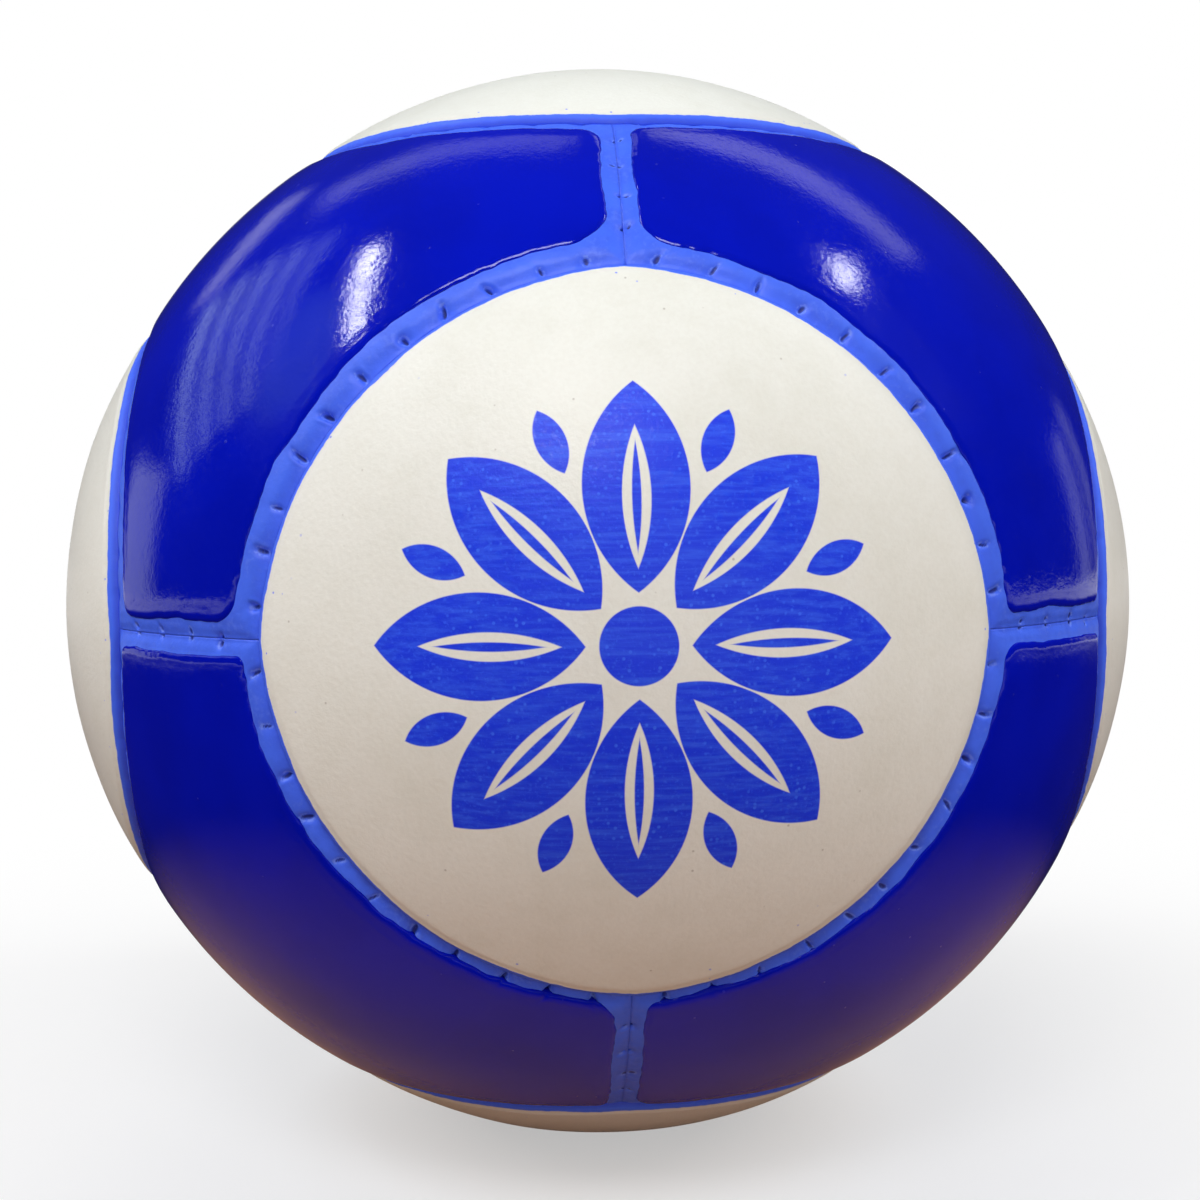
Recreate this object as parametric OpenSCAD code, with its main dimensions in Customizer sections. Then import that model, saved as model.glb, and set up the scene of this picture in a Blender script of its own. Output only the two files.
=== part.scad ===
// Sewn handball of six round white panels and eight three-armed blue panels.
// Every panel is a leather-like cover with turned-in edges over a padded cloth
// lining; a thread laces each pair of turned-in edges together. Inside are the
// bladder and a needle valve in the middle of the white panel at the back.
// Origin in the middle of the ball, +Z up, the printed white panel faces -Y.

/* [Ball] */
// Diameter over the middles of two facing white panels
ball_d = 175; // [168:1:190]
// How far the middle of a white panel swells past its own corners
white_swell = 1.6; // [0.8:0.1:2.4]
// How far the middle of a blue panel swells past its own corners
blue_swell = 0.4; // [0.2:0.1:1.4]

/* [White panels] */
// Width of a white panel between the middles of two facing edges
white_flat_w = 93.6; // [86:0.2:98]
// Width of a white panel between two facing corners
white_corner_w = 96.2; // [88:0.2:100.6]

/* [Covers] */
// Thickness of the cover sheet, which is also that of its turned-in edge
cover_t = 2; // [1.6:0.1:2.4]
// Gap between two turned-in edges that are sewn together
seam_gap = 0.2; // [0.1:0.05:0.4]
// Depth of the valley between two sewn edges
valley_depth = 1.6; // [1.2:0.1:1.9]
// Width of the rounding along the edge of a white cover
white_lip_w = 1.7; // [1.2:0.1:3]
// Width of the rounding of a blue cover beside a white one
blue_lip_w = 4; // [2.6:0.1:5]
// Width of the rounding of a blue cover beside another blue one
pair_lip_w = 2; // [1.6:0.1:3]

/* [Gloss film] */
// Thickness of the dark glossy film on a blue cover
film_t = 0.3; // [0.2:0.05:0.5]
// Glue line between the film and its cover
film_glue = 0.1; // [0.05:0.05:0.2]
// Radius of the corners of the film
film_corner_r = 3.6; // [2:0.2:5]

/* [Lining] */
// Thickness of the padded cloth lining at the edge of a panel
lining_t = 2.4; // [2:0.1:4]
// Glue line between layers that lie on each other
lay_gap = 0.2; // [0.1:0.05:0.3]

/* [Thread] */
// Distance from one stitch to the next
stitch_pitch = 6.3; // [5:0.1:9]
// Thickness of the thread where it crosses a seam
thread_d = 0.8; // [0.6:0.05:1]
// Thickness of the doubled thread that runs along a turned-in edge
run_d = 1; // [0.9:0.05:1.2]
// Clearance between the thread and what it passes
thread_clear = 0.12; // [0.05:0.01:0.2]
// Diameter of the pit that a stitch draws into the valley
pit_d = 1.3; // [1:0.1:1.5]
// Width of the rim between the gap at a white panel and a pit in the blue edge
pit_rim = 0.2; // [0.1:0.05:0.3]

/* [Bladder and valve] */
// Wall of the rubber bladder
bladder_t = 1.2; // [0.8:0.1:2]
// Diameter of the valve's flange, inside the bladder
flange_d = 28; // [22:1:34]
// Thickness of the valve's flange
flange_t = 1.4; // [1:0.1:2.5]
// Diameter of the valve's neck, through the bladder and the lining
neck_d = 9.4; // [8:0.2:12]
// Diameter of the valve's nozzle, in the hole of the cover
nozzle_d = 6.4; // [5.6:0.2:7.4]
// How deep the top of the nozzle lies under the face of the cover
nozzle_drop = 0.6; // [0.3:0.1:1.2]
// Diameter of the valve's barrel, inside the ball
barrel_d = 11; // [9.6:0.2:14]
// Length of the valve's barrel below its flange
barrel_l = 11; // [9:0.5:16]
// Wall under the plug at the barrel's inner end
barrel_floor = 1.6; // [1:0.1:3]
// Diameter of the rubber plug in the barrel
plug_d = 5; // [4.4:0.1:5.6]
// Diameter of the plug's tip in the mouth of the nozzle
plug_tip_d = 3.4; // [3:0.1:3.8]
// Length of the narrow mouth that the plug's tip sits in
mouth_l = 4.4; // [3.6:0.2:6]
// Diameter of the needle's channel
needle_d = 2; // [1.6:0.1:2.2]
// Depth of the needle's channel
needle_l = 11; // [8:0.5:14]
// Clearance of the valve's parts in each other and in the layers
valve_clear = 0.2; // [0.1:0.05:0.3]
// Diameter of the cloth patch around the valve's neck
patch_d = 36; // [30:1:44]
// Thickness of the cloth patch
patch_t = 0.7; // [0.4:0.1:1]
// Chamfer around the valve's hole in the cover
hole_chamfer = 0.6; // [0.3:0.1:1]

/* [Hidden] */
$fn = 96;
FACES = ["front", "back", "left", "right", "top", "bottom"];
face_turns = [[90, 0, 0], [-90, 0, 0], [0, -90, 0], [0, 90, 0], [0, 0, 0], [180, 0, 0]];
CORNERS = ["front_top_left", "front_top_right", "front_bottom_left", "front_bottom_right",
    "back_top_left", "back_top_right", "back_bottom_left", "back_bottom_right"];
corner_signs = [for (y = [-1, 1], z = [1, -1], x = [-1, 1]) [x, y, z]];
PLANES = ["level", "middle", "across"];
VALVE_FACE = 1;

quarter = 90;
third = 120;
ball_r = ball_d / 2;
// Level of the corners where three seams meet
edge_r = ball_r - white_swell;
reach = ball_d;
overrun = cover_t;

// Outline of a white panel, as angles seen from the middle of the ball. Each of
// its four edges is a circle about an axis that edge_tilt leans from the panel's.
flat_angle = asin(white_flat_w / 2 / edge_r);
corner_angle = asin(white_corner_w / 2 / edge_r);
edge_tilt = atan((cos(flat_angle) - cos(corner_angle)) /
    (sin(flat_angle) - sin(corner_angle) * cos(quarter / 2)));
edge_angle = flat_angle + edge_tilt;
// Half of the turn that one edge makes about its own axis
edge_half = atan2(sin(corner_angle) * sin(quarter / 2),
    cos(edge_tilt) * sin(corner_angle) * cos(quarter / 2) + sin(edge_tilt) * cos(corner_angle));
// Half of the angle that a short seam between two blue panels spans
short_half = quarter / 2 - corner_angle;

// Faces of the panels: spheres through the panel's middle and its corners
function dome_middle(top, rim, angle) = (top * top - rim * rim) / (2 * (top - rim * cos(angle)));
white_c = dome_middle(ball_r, edge_r, corner_angle);
white_r = ball_r - white_c;
blue_corner_angle = acos((cos(corner_angle) + sin(corner_angle)) / sqrt(3));
blue_c = dome_middle(edge_r + blue_swell, edge_r, blue_corner_angle);
blue_r = edge_r + blue_swell - blue_c;
film_stack = film_t + film_glue;

// Levels below the seams, from the middle of the ball
valley_r = edge_r - valley_depth;
bladder_r = edge_r - film_stack - cover_t - 2 * lay_gap - lining_t;
floor_r = bladder_r + lay_gap;
core_r = floor_r / 2;

// Thread along the turned-in edges and across the seam
half_gap = seam_gap / 2;
edge_in = half_gap + cover_t;
run_r = edge_r - film_stack - cover_t - thread_clear - run_d / 2;
run_off = edge_in + thread_clear + run_d / 2;
run_in = run_off + run_d / 2 + thread_clear;
thread_hole_d = thread_d + 2 * thread_clear;
pit_floor = run_r + thread_hole_d / 2 + thread_clear;

// Stitches, as angles about the axis of their seam
function length_of(r, angle) = 2 * PI * r * angle / 360;
function angle_of(r, length) = length / (2 * PI * r) * 360;
edge_turn_r = run_r * sin(edge_angle);
edge_free = 2 * (edge_half - angle_of(edge_turn_r, edge_in + thread_clear + run_d));
short_free = 2 * (short_half - angle_of(run_r, run_in + run_d));
edge_stitches = floor(length_of(edge_turn_r, edge_free) / stitch_pitch) + 1;
short_stitches = floor(length_of(run_r, short_free) / stitch_pitch) + 1;
edge_step = angle_of(edge_turn_r, stitch_pitch);
short_step = angle_of(run_r, stitch_pitch);

// Middle of a rounded film corner. Its arc meets the film's edges at an angle,
// so it lies a little nearer to them than its radius.
corner_ease_share = 0.92;
film_corner_off = film_corner_r * corner_ease_share;
film_corner_tip = edge_angle + angle_of(edge_r, half_gap + blue_lip_w + film_corner_off);
film_corner_turn = atan2(1, cos(edge_tilt)) -
    acos(((half_gap + pair_lip_w + film_corner_off) / edge_r / cos(quarter / 2) +
        cos(film_corner_tip) * sin(edge_tilt)) / sin(film_corner_tip) /
        sqrt(1 + cos(edge_tilt) * cos(edge_tilt)));

// Levels along the valve, from the middle of the ball
nozzle_top = ball_r - nozzle_drop;
neck_top = ball_r - cover_t - valve_clear;
flange_r = bladder_r - bladder_t - lay_gap;
barrel_end = flange_r - flange_t - barrel_l;
plug_end = barrel_end + barrel_floor;
plug_neck = nozzle_top - mouth_l;
patch_r = floor_r + patch_t;

// What the rounding of an edge takes off a panel that lies beyond +X, seam at +Y
module lip_section(lip_w, lip_depth) {
    lip_r = (lip_w * lip_w + lip_depth * lip_depth) / (2 * lip_depth);
    difference() {
        translate([-overrun, valley_r + lip_depth - lip_r])
            square([lip_w + overrun, reach]);
        translate([lip_w, valley_r + lip_depth - lip_r])
            circle(lip_r);
    }
}

// A turned solid about the axis of one edge of the white panel around +Z.
// Its 2D child is drawn with the seam along +Y and the panel on the -X side.
module about_edge() {
    rotate([0, -edge_tilt, 0])
        rotate_extrude()
            intersection() {
                translate([0, core_r])
                    square([reach, ball_r + overrun - core_r]);
                rotate(-edge_angle)
                    children();
            }
}

// Room of the white panel as one of its edges bounds it
module inside_edge(inset, lip_w, lip_depth) {
    about_edge()
        difference() {
            translate([-2 * reach - inset, -reach])
                square([2 * reach, 3 * reach]);
            if (lip_w > 0)
                mirror([1, 0])
                    lip_section(lip_w, lip_depth);
        }
}

module inside_edges(inset, lip_w = 0, lip_depth = 0) {
    intersection() {
        rotate(quarter / 2)
            inside_edge(inset, lip_w, lip_depth);
        rotate(quarter * 3 / 2)
            inside_edge(inset, lip_w, lip_depth);
        rotate(quarter * 5 / 2)
            inside_edge(inset, lip_w, lip_depth);
        rotate(quarter * 7 / 2)
            inside_edge(inset, lip_w, lip_depth);
    }
}

// What one edge of a white panel takes off the blue panel beyond it
module beyond_edge(inset, lip_w = 0, lip_depth = 0) {
    about_edge()
        union() {
            translate([inset - 2 * reach, -reach])
                square([2 * reach, 3 * reach]);
            if (lip_w > 0)
                lip_section(lip_w, lip_depth);
        }
}

// What the rounding beside another blue panel takes off, along the plane Z = 0
module short_lip() {
    rotate_extrude(angle = quarter)
        rotate(-quarter)
            intersection() {
                lip_section(pair_lip_w, valley_depth - film_stack);
                translate([-overrun, floor_r])
                    square([pair_lip_w + overrun, ball_r - floor_r]);
            }
}

// Ball that the face of the white panel around +Z lies on, less a depth
module white_dome(depth) {
    translate([0, 0, white_c])
        rotate(quarter / 4)
            sphere(white_r - depth);
}

// The same for the blue panel in the corner +X +Y +Z
module blue_dome(depth) {
    translate([1, 1, 1] * blue_c / sqrt(3))
        sphere(blue_r - depth);
}

module for_edges() {
    for (i = [0 : 3])
        rotate(quarter * (i + 1 / 2))
            children();
}

// A blue panel has three arms: repeats what lies around the white panel at +Z
module for_arms() {
    for (i = [0 : 2])
        rotate(a = third * i, v = [1, 1, 1])
            children();
}

module white_body(depth, inset, lip_w = 0, lip_depth = 0) {
    intersection() {
        inside_edges(inset, lip_w, lip_depth);
        white_dome(depth);
    }
}

module blue_body(depth, plane_inset, edge_inset, lip_w = 0) {
    difference() {
        intersection() {
            blue_dome(depth);
            translate([1, 1, 1] * plane_inset)
                cube(reach);
        }
        for_arms()
            rotate(quarter / 2)
                beyond_edge(edge_inset, lip_w, valley_depth);
    }
}

// Places a child on an edge or on a short seam, with +X across and +Z outward
module on_edge(turn) {
    rotate([0, -edge_tilt, 0])
        rotate(turn)
            rotate([0, edge_angle, 0])
                children();
}

module on_short_seam(turn) {
    rotate(quarter / 2 + turn)
        rotate([0, quarter, 0])
            children();
}

// Puts a child at every stitch of one edge, or of one short seam
module at_edge_stitches() {
    for (i = [0 : edge_stitches - 1])
        on_edge((i - (edge_stitches - 1) / 2) * edge_step)
            children();
}

module at_short_stitches() {
    for (i = [0 : short_stitches - 1])
        on_short_seam((i - (short_stitches - 1) / 2) * short_step)
            children();
}

// What crosses a seam there: the thread, or its hole through both turned-in edges
module crossing(d) {
    translate([-run_off, 0, run_r])
        rotate([0, quarter, 0])
            cylinder(d = d, h = 2 * run_off);
}

// Pit that a stitch draws into the valley. It ends above the thread's hole.
module pit(shift) {
    translate([shift, 0, pit_floor])
        cylinder(d = pit_d, h = valley_depth + cover_t);
}

// Two runs of thread, as a ring piece that reaches half to both sides of +X
module runs(half, lean) {
    rotate(-half)
        rotate_extrude(angle = 2 * half)
            rotate(-lean)
                for (side = [-1, 1])
                    translate([side * run_off, run_r])
                        circle(d = run_d);
}

module edge_thread() {
    rotate([0, -edge_tilt, 0])
        runs((edge_stitches - 1) / 2 * edge_step + angle_of(edge_turn_r, run_d), edge_angle);
    at_edge_stitches()
        crossing(thread_d);
}

module short_thread_piece() {
    rotate(quarter / 2)
        runs((short_stitches - 1) / 2 * short_step + angle_of(run_r, run_d), quarter);
    at_short_stitches()
        crossing(thread_d);
}

// Turns what is made around +Z to one of the six white panels
module to_face(face) {
    rotate(face_turns[face])
        children();
}

// Turns what is made in the corner +X +Y +Z to one of the eight blue panels
module to_corner(corner) {
    s = corner_signs[corner];
    mirror([s[0] < 0 ? 1 : 0, 0, 0])
        mirror([0, s[1] < 0 ? 1 : 0, 0])
            mirror([0, 0, s[2] < 0 ? 1 : 0])
                children();
}

module white_cover(face) {
    color("ivory")
        to_face(face)
            difference() {
                difference() {
                    difference() {
                        white_body(0, half_gap, white_lip_w, valley_depth);
                        rotate(quarter / 18)
                            sphere(floor_r);
                    }
                    white_body(cover_t, edge_in);
                }
                for_edges()
                    at_edge_stitches()
                        crossing(thread_hole_d);
                if (face == VALVE_FACE) {
                    translate([0, 0, core_r])
                        cylinder(d = nozzle_d + 2 * valve_clear, h = reach);
                    translate([0, 0, ball_r - hole_chamfer])
                        cylinder(d1 = nozzle_d + 2 * valve_clear,
                            d2 = nozzle_d + 2 * valve_clear + 4 * hole_chamfer, h = 2 * hole_chamfer);
                }
            }
}

module blue_cover(corner) {
    color("cornflowerblue")
        to_corner(corner)
            difference() {
                difference() {
                    difference() {
                        blue_body(film_stack, half_gap, half_gap, blue_lip_w);
                        sphere(floor_r);
                    }
                    for_arms()
                        short_lip();
                }
                blue_body(film_stack + cover_t, edge_in, edge_in);
                for_arms() {
                    rotate(quarter / 2)
                        at_edge_stitches() {
                            crossing(thread_hole_d);
                            pit(half_gap + pit_rim + pit_d / 2);
                        }
                    at_short_stitches() {
                        crossing(thread_hole_d);
                        pit(0);
                    }
                }
            }
}

// What rounding takes off the corner of the film beside the plane Y = 0
module film_corner_cut() {
    rotate(quarter / 2)
        rotate([0, -edge_tilt, 0])
            rotate(film_corner_turn)
                rotate([0, film_corner_tip, 0])
                    translate([0, 0, floor_r])
                        difference() {
                            translate([-2 * film_corner_r, -2 * film_corner_r, 0])
                                cube([2 * film_corner_r, 2 * film_corner_r, reach]);
                            cylinder(r = film_corner_r, h = reach);
                        }
}

module gloss_film(corner) {
    color([0.02, 0.08, 0.7])
        to_corner(corner)
            difference() {
                difference() {
                    blue_body(0, half_gap + pair_lip_w, half_gap + blue_lip_w);
                    blue_dome(film_t);
                }
                for_arms() {
                    film_corner_cut();
                    mirror([1, -1, 0])
                        film_corner_cut();
                }
            }
}

module white_lining(face) {
    color("gainsboro")
        to_face(face)
            difference() {
                difference() {
                    white_body(cover_t + lay_gap, run_in);
                    sphere(floor_r);
                }
                if (face == VALVE_FACE) {
                    translate([0, 0, core_r])
                        cylinder(d = neck_d + 2 * valve_clear, h = reach);
                    intersection() {
                        translate([0, 0, core_r])
                            cylinder(d = patch_d + 2 * valve_clear, h = reach);
                        sphere(patch_r + lay_gap);
                    }
                }
            }
}

module blue_lining(corner) {
    color("silver")
        to_corner(corner)
            difference() {
                blue_body(film_stack + cover_t + lay_gap, run_in, run_in);
                sphere(floor_r);
            }
}

module ring_thread(face) {
    color("lightskyblue")
        to_face(face)
            for_edges()
                edge_thread();
}

module short_thread(plane) {
    color("lightskyblue")
        rotate(a = third * plane, v = [1, 1, 1])
            for (i = [0 : 3])
                rotate(quarter * i)
                    short_thread_piece();
}

module bladder() {
    color("dimgray")
        to_face(VALVE_FACE)
            difference() {
                sphere(bladder_r);
                sphere(bladder_r - bladder_t);
                translate([0, 0, core_r])
                    cylinder(d = neck_d + 2 * valve_clear, h = reach);
            }
}

module valve_patch() {
    color("white")
        to_face(VALVE_FACE)
            rotate_extrude()
                intersection() {
                    difference() {
                        circle(patch_r);
                        circle(floor_r);
                    }
                    translate([neck_d / 2 + valve_clear, 0])
                        square([patch_d / 2 - neck_d / 2 - valve_clear, reach]);
                }
}

// Flange on the bladder's inner face, neck, nozzle and barrel, moulded in one
module valve_housing() {
    color("black")
        to_face(VALVE_FACE)
            rotate_extrude()
                difference() {
                    union() {
                        intersection() {
                            difference() {
                                circle(flange_r);
                                circle(flange_r - flange_t);
                            }
                            square([flange_d / 2, reach]);
                        }
                        translate([0, barrel_end])
                            square([barrel_d / 2, barrel_l + flange_t / 2]);
                        translate([0, barrel_end])
                            square([neck_d / 2, neck_top - barrel_end]);
                        translate([0, barrel_end])
                            square([nozzle_d / 2, nozzle_top - barrel_end]);
                    }
                    translate([0, plug_end])
                        square([plug_d / 2 + valve_clear, plug_neck - plug_end]);
                    translate([0, plug_end])
                        square([plug_tip_d / 2 + valve_clear, reach]);
                }
}

module valve_plug() {
    color("darkslategray")
        to_face(VALVE_FACE)
            difference() {
                union() {
                    translate([0, 0, plug_end])
                        cylinder(d = plug_d, h = plug_neck - valve_clear - plug_end);
                    translate([0, 0, plug_end])
                        cylinder(d = plug_tip_d, h = nozzle_top - plug_end);
                }
                translate([0, 0, nozzle_top - needle_l])
                    cylinder(d = needle_d, h = needle_l + overrun);
            }
}

for (i = [0 : len(FACES) - 1]) {
    white_cover(i);
    white_lining(i);
    ring_thread(i);
}
for (i = [0 : len(CORNERS) - 1]) {
    blue_cover(i);
    gloss_film(i);
    blue_lining(i);
}
for (i = [0 : len(PLANES) - 1]) {
    short_thread(i);
}
bladder();
valve_housing();
valve_plug();
valve_patch();
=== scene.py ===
# A sewn handball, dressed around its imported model: white and blue covers with rolled
# edges and stitch pits, gloss coats, padding, laced thread, air bladder and valve,
# and a plain studio. All lengths are in metres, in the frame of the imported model.
import math

import bpy
import numpy as np
from bpy.props import FloatProperty, FloatVectorProperty, IntProperty, PointerProperty
from mathutils import Matrix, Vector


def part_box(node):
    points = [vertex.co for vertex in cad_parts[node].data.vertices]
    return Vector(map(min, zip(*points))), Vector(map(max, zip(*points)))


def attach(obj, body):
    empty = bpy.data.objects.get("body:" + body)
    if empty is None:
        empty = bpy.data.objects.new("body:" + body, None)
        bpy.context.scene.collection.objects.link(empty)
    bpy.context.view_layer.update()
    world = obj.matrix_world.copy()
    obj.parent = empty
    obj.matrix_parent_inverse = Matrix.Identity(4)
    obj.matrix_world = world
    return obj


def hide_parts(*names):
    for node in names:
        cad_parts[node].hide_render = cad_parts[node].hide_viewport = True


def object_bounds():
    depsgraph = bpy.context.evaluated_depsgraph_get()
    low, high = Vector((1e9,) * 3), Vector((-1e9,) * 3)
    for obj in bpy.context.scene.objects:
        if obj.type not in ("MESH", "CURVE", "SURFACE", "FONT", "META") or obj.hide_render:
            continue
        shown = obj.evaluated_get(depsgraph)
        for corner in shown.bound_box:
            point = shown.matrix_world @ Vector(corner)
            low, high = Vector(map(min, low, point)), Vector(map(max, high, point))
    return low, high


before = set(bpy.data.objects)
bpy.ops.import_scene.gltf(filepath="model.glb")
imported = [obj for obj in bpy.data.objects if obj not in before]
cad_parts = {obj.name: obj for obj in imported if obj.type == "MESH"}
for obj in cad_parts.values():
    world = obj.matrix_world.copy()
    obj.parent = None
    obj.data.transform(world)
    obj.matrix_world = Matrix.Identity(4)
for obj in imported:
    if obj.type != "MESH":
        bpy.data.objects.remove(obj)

bl_info = {
    "name": "Sewn handball",
    "version": (1, 0, 0),
    "blender": (4, 5, 0),
    "location": "3D View > Sidebar > Handball",
    "description": "Builds the covers, coats, padding, lacing and valve of a sewn ball",
    "category": "Object",
}

CAD_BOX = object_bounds()
MM = 0.001
BODY = "root"
RIGHT_ANGLE = math.pi / 2

# Right, up and outward directions of each white panel
FACES = {
    "front": ((1, 0, 0), (0, 0, 1), (0, -1, 0)),
    "back": ((1, 0, 0), (0, 0, -1), (0, 1, 0)),
    "left": ((0, 0, 1), (0, 1, 0), (-1, 0, 0)),
    "right": ((0, 0, -1), (0, 1, 0), (1, 0, 0)),
    "top": ((1, 0, 0), (0, 1, 0), (0, 0, 1)),
    "bottom": ((1, 0, 0), (0, -1, 0), (0, 0, -1)),
}
# Outward direction of each blue panel
CORNERS = {
    f"{depth}_{height}_{side}": (x, y, z)
    for depth, y in (("front", -1), ("back", 1))
    for height, z in (("top", 1), ("bottom", -1))
    for side, x in (("left", -1), ("right", 1))
}
# Planes of the short seams: two axes that lie in each and the one that crosses it
PLANES = {"level": (0, 1, 2), "middle": (1, 2, 0), "across": (2, 0, 1)}
# How round each corner of a coat is, beside a face and a plane of short seams, as a
# share of the usual radius. The others are drawn at random.
CORNER_ROUNDS = {
    ("front_top_left", "front", "middle"): 3.0, ("front_top_right", "front", "middle"): 2.0,
    ("front_top_left", "top", "middle"): 1.2, ("front_top_right", "top", "middle"): 0.8,
    ("front_top_left", "front", "level"): 1.3, ("front_top_left", "left", "level"): 1.0,
    ("front_bottom_left", "front", "level"): 0.5, ("front_bottom_left", "left", "level"): 0.5,
    ("front_top_right", "front", "level"): 0.5, ("front_top_right", "right", "level"): 0.5,
    ("front_bottom_right", "front", "level"): 0.9, ("front_bottom_right", "right", "level"): 0.5,
    ("front_bottom_left", "front", "middle"): 1.3, ("front_bottom_right", "front", "middle"): 0.6,
}
# How much closer to the white panels a coat was painted, as a share of the blue lip, and
# how much more it is beside the ball's middle plane, up to a reach from that plane as a
# share of the ball's radius. The others are drawn at random.
COAT_SPREADS = {"front_top_left": (0.05, 0.0), "front_top_right": (0.22, 0.0),
                "front_bottom_left": (0.36, 0.36), "front_bottom_right": (0.32, 0.36)}
MIDDLE_REACH = 0.42
# How far a coat, which bridges the stitch pits, follows them.
COAT_DRAWN_IN = 0.15
VALVE_FACE = "back"
PRINTED_FACE = "front"
# How many vertices go round a white cover, a blue cover, a coat and a pad.
WHITE_COUNT, BLUE_COUNT, COAT_COUNT, PAD_COUNT = 1024, 1280, 1152, 192
# No outline leans further than this from its panel's middle, and it is found by so many
# halvings.
WIDEST_LEAN, HALVINGS = math.radians(42), 36
# First number of each row of random seeds. Every panel or seam has the next one.
SEEDS = {"edge": 100, "short": 300, "crumbs": 480, "white_dents": 500, "blue_dents": 520,
         "coat_wander": 540, "coat_waver": 550, "coat_swell": 560, "coat_corners": 580,
         "coat_spread": 590}
# How a stitch marks the skin on a short seam, and on the blue and the white side of a
# white panel's edge: depth and half width of its notch, then height and half length of
# the dip around it, and from where to where the dip fades in, inside the panel.
STITCH_MARKS = {
    "short": (0.55 * MM, 0.38 * MM, 0.10 * MM, 1.3 * MM, 2.6 * MM, 0.5 * MM),
    "blue": (0.9 * MM, 0.38 * MM, 0.20 * MM, 1.4 * MM, 4 * MM, MM),
    "white": (0.16 * MM, 0.8 * MM, 0.0, MM, 4 * MM, MM),
}
# Widths over which a lip meets the panel's face and the valley's floor.
LIP_BLEND, VALLEY_BLEND = 0.35 * MM, 0.5 * MM
# From where to where the thicker fill of a short seam fades in, inside a panel, beside
# that seam and beside a white panel's edge.
PAIR_FILL_ENDS, EDGE_FILL_ENDS = (2.6 * MM, 1.2 * MM), (0.4 * MM, 2.4 * MM)
# How far crumbs of leather shift a notch's rim, lift the skin, and how far in they go.
CRUMB_SHIFT, CRUMB_LIFT, CRUMB_REACH = 0.16 * MM, 0.03 * MM, 2.6 * MM
# Heights of the covers' dents and of a coat's swell, in millimetres.
WHITE_DENT, BLUE_DENT, COAT_SWELL = 0.10, 0.05, 0.035
# How far a coat's edge wanders slowly and quickly.
COAT_WANDER, COAT_WAVER = 0.30 * MM, 0.10 * MM
# Shares of the way down a turned-in edge, in along a cover's inner face, across a pad and
# in under a coat, at which these have a ring of vertices.
EDGE_SHARES = (0.04, 0.1, 0.2, 0.35, 0.6, 1.0)
ROOF_SHARES = (1.0, 0.94, 0.85, 0.7, 0.5, 0.3, 0.12)
PAD_SHARES = (0.02, 0.15, 0.3, 0.45, 0.6, 0.74, 0.86, 0.94, 0.98, 1.0)
UNDER_SHARES = (0.995, 0.97, 0.9, 0.75, 0.5, 0.25, 0.05)
# Sides of a ply of the thread, then its distance from the thread's line and its radius as
# shares of the thread's thickness.
PLY_SIDES, PLY_OFF, PLY_R = 6, 0.21, 0.28
# Radius at which a turned solid is closed on its axis.
AXIS_R = 0.02 * MM
# Colours of grain, wear, darkening towards a seam and lighter pit rims, laid thinly on a finish, linear
# red, green and blue.
GRAIN_TONE, SPECK_TONE, SEAM_DARK_TONE = (0.62, 0.60, 0.52), (0.30, 0.27, 0.22), (0.56, 0.52, 0.47)
PIT_RIM_TONE, SCUFF_TONE, BLOOM_TONE = (0.26, 0.40, 1.0), (0.17, 0.31, 1.0), (0.30, 0.30, 0.30)
WEAVE_TONE, STAIN_TONE, DUSTY_TONE = (0.40, 0.38, 0.34), (0.55, 0.50, 0.42), (0.8, 0.8, 0.8)


def length(label, note, default, **limits):
    """A size in metres that a user can change."""
    return FloatProperty(name=label, description=note, default=default, min=0, precision=5,
                         subtype="DISTANCE", unit="LENGTH", **limits)


def tone(label, note, red, green, blue):
    """A colour that a user can change, written as it looks on a screen, 0 to 255."""
    linear = [(level / 255 / 12.92 if level < 11 else ((level / 255 + 0.055) / 1.055) ** 2.4)
              for level in (red, green, blue)]
    return FloatVectorProperty(name=label, description=note, subtype="COLOR", size=3,
                               default=linear, min=0, max=1)


def power(label, note, default):
    """The power of lamps that a user can change."""
    return FloatProperty(name=label, description=note, default=default, min=0, unit="POWER")


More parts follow.
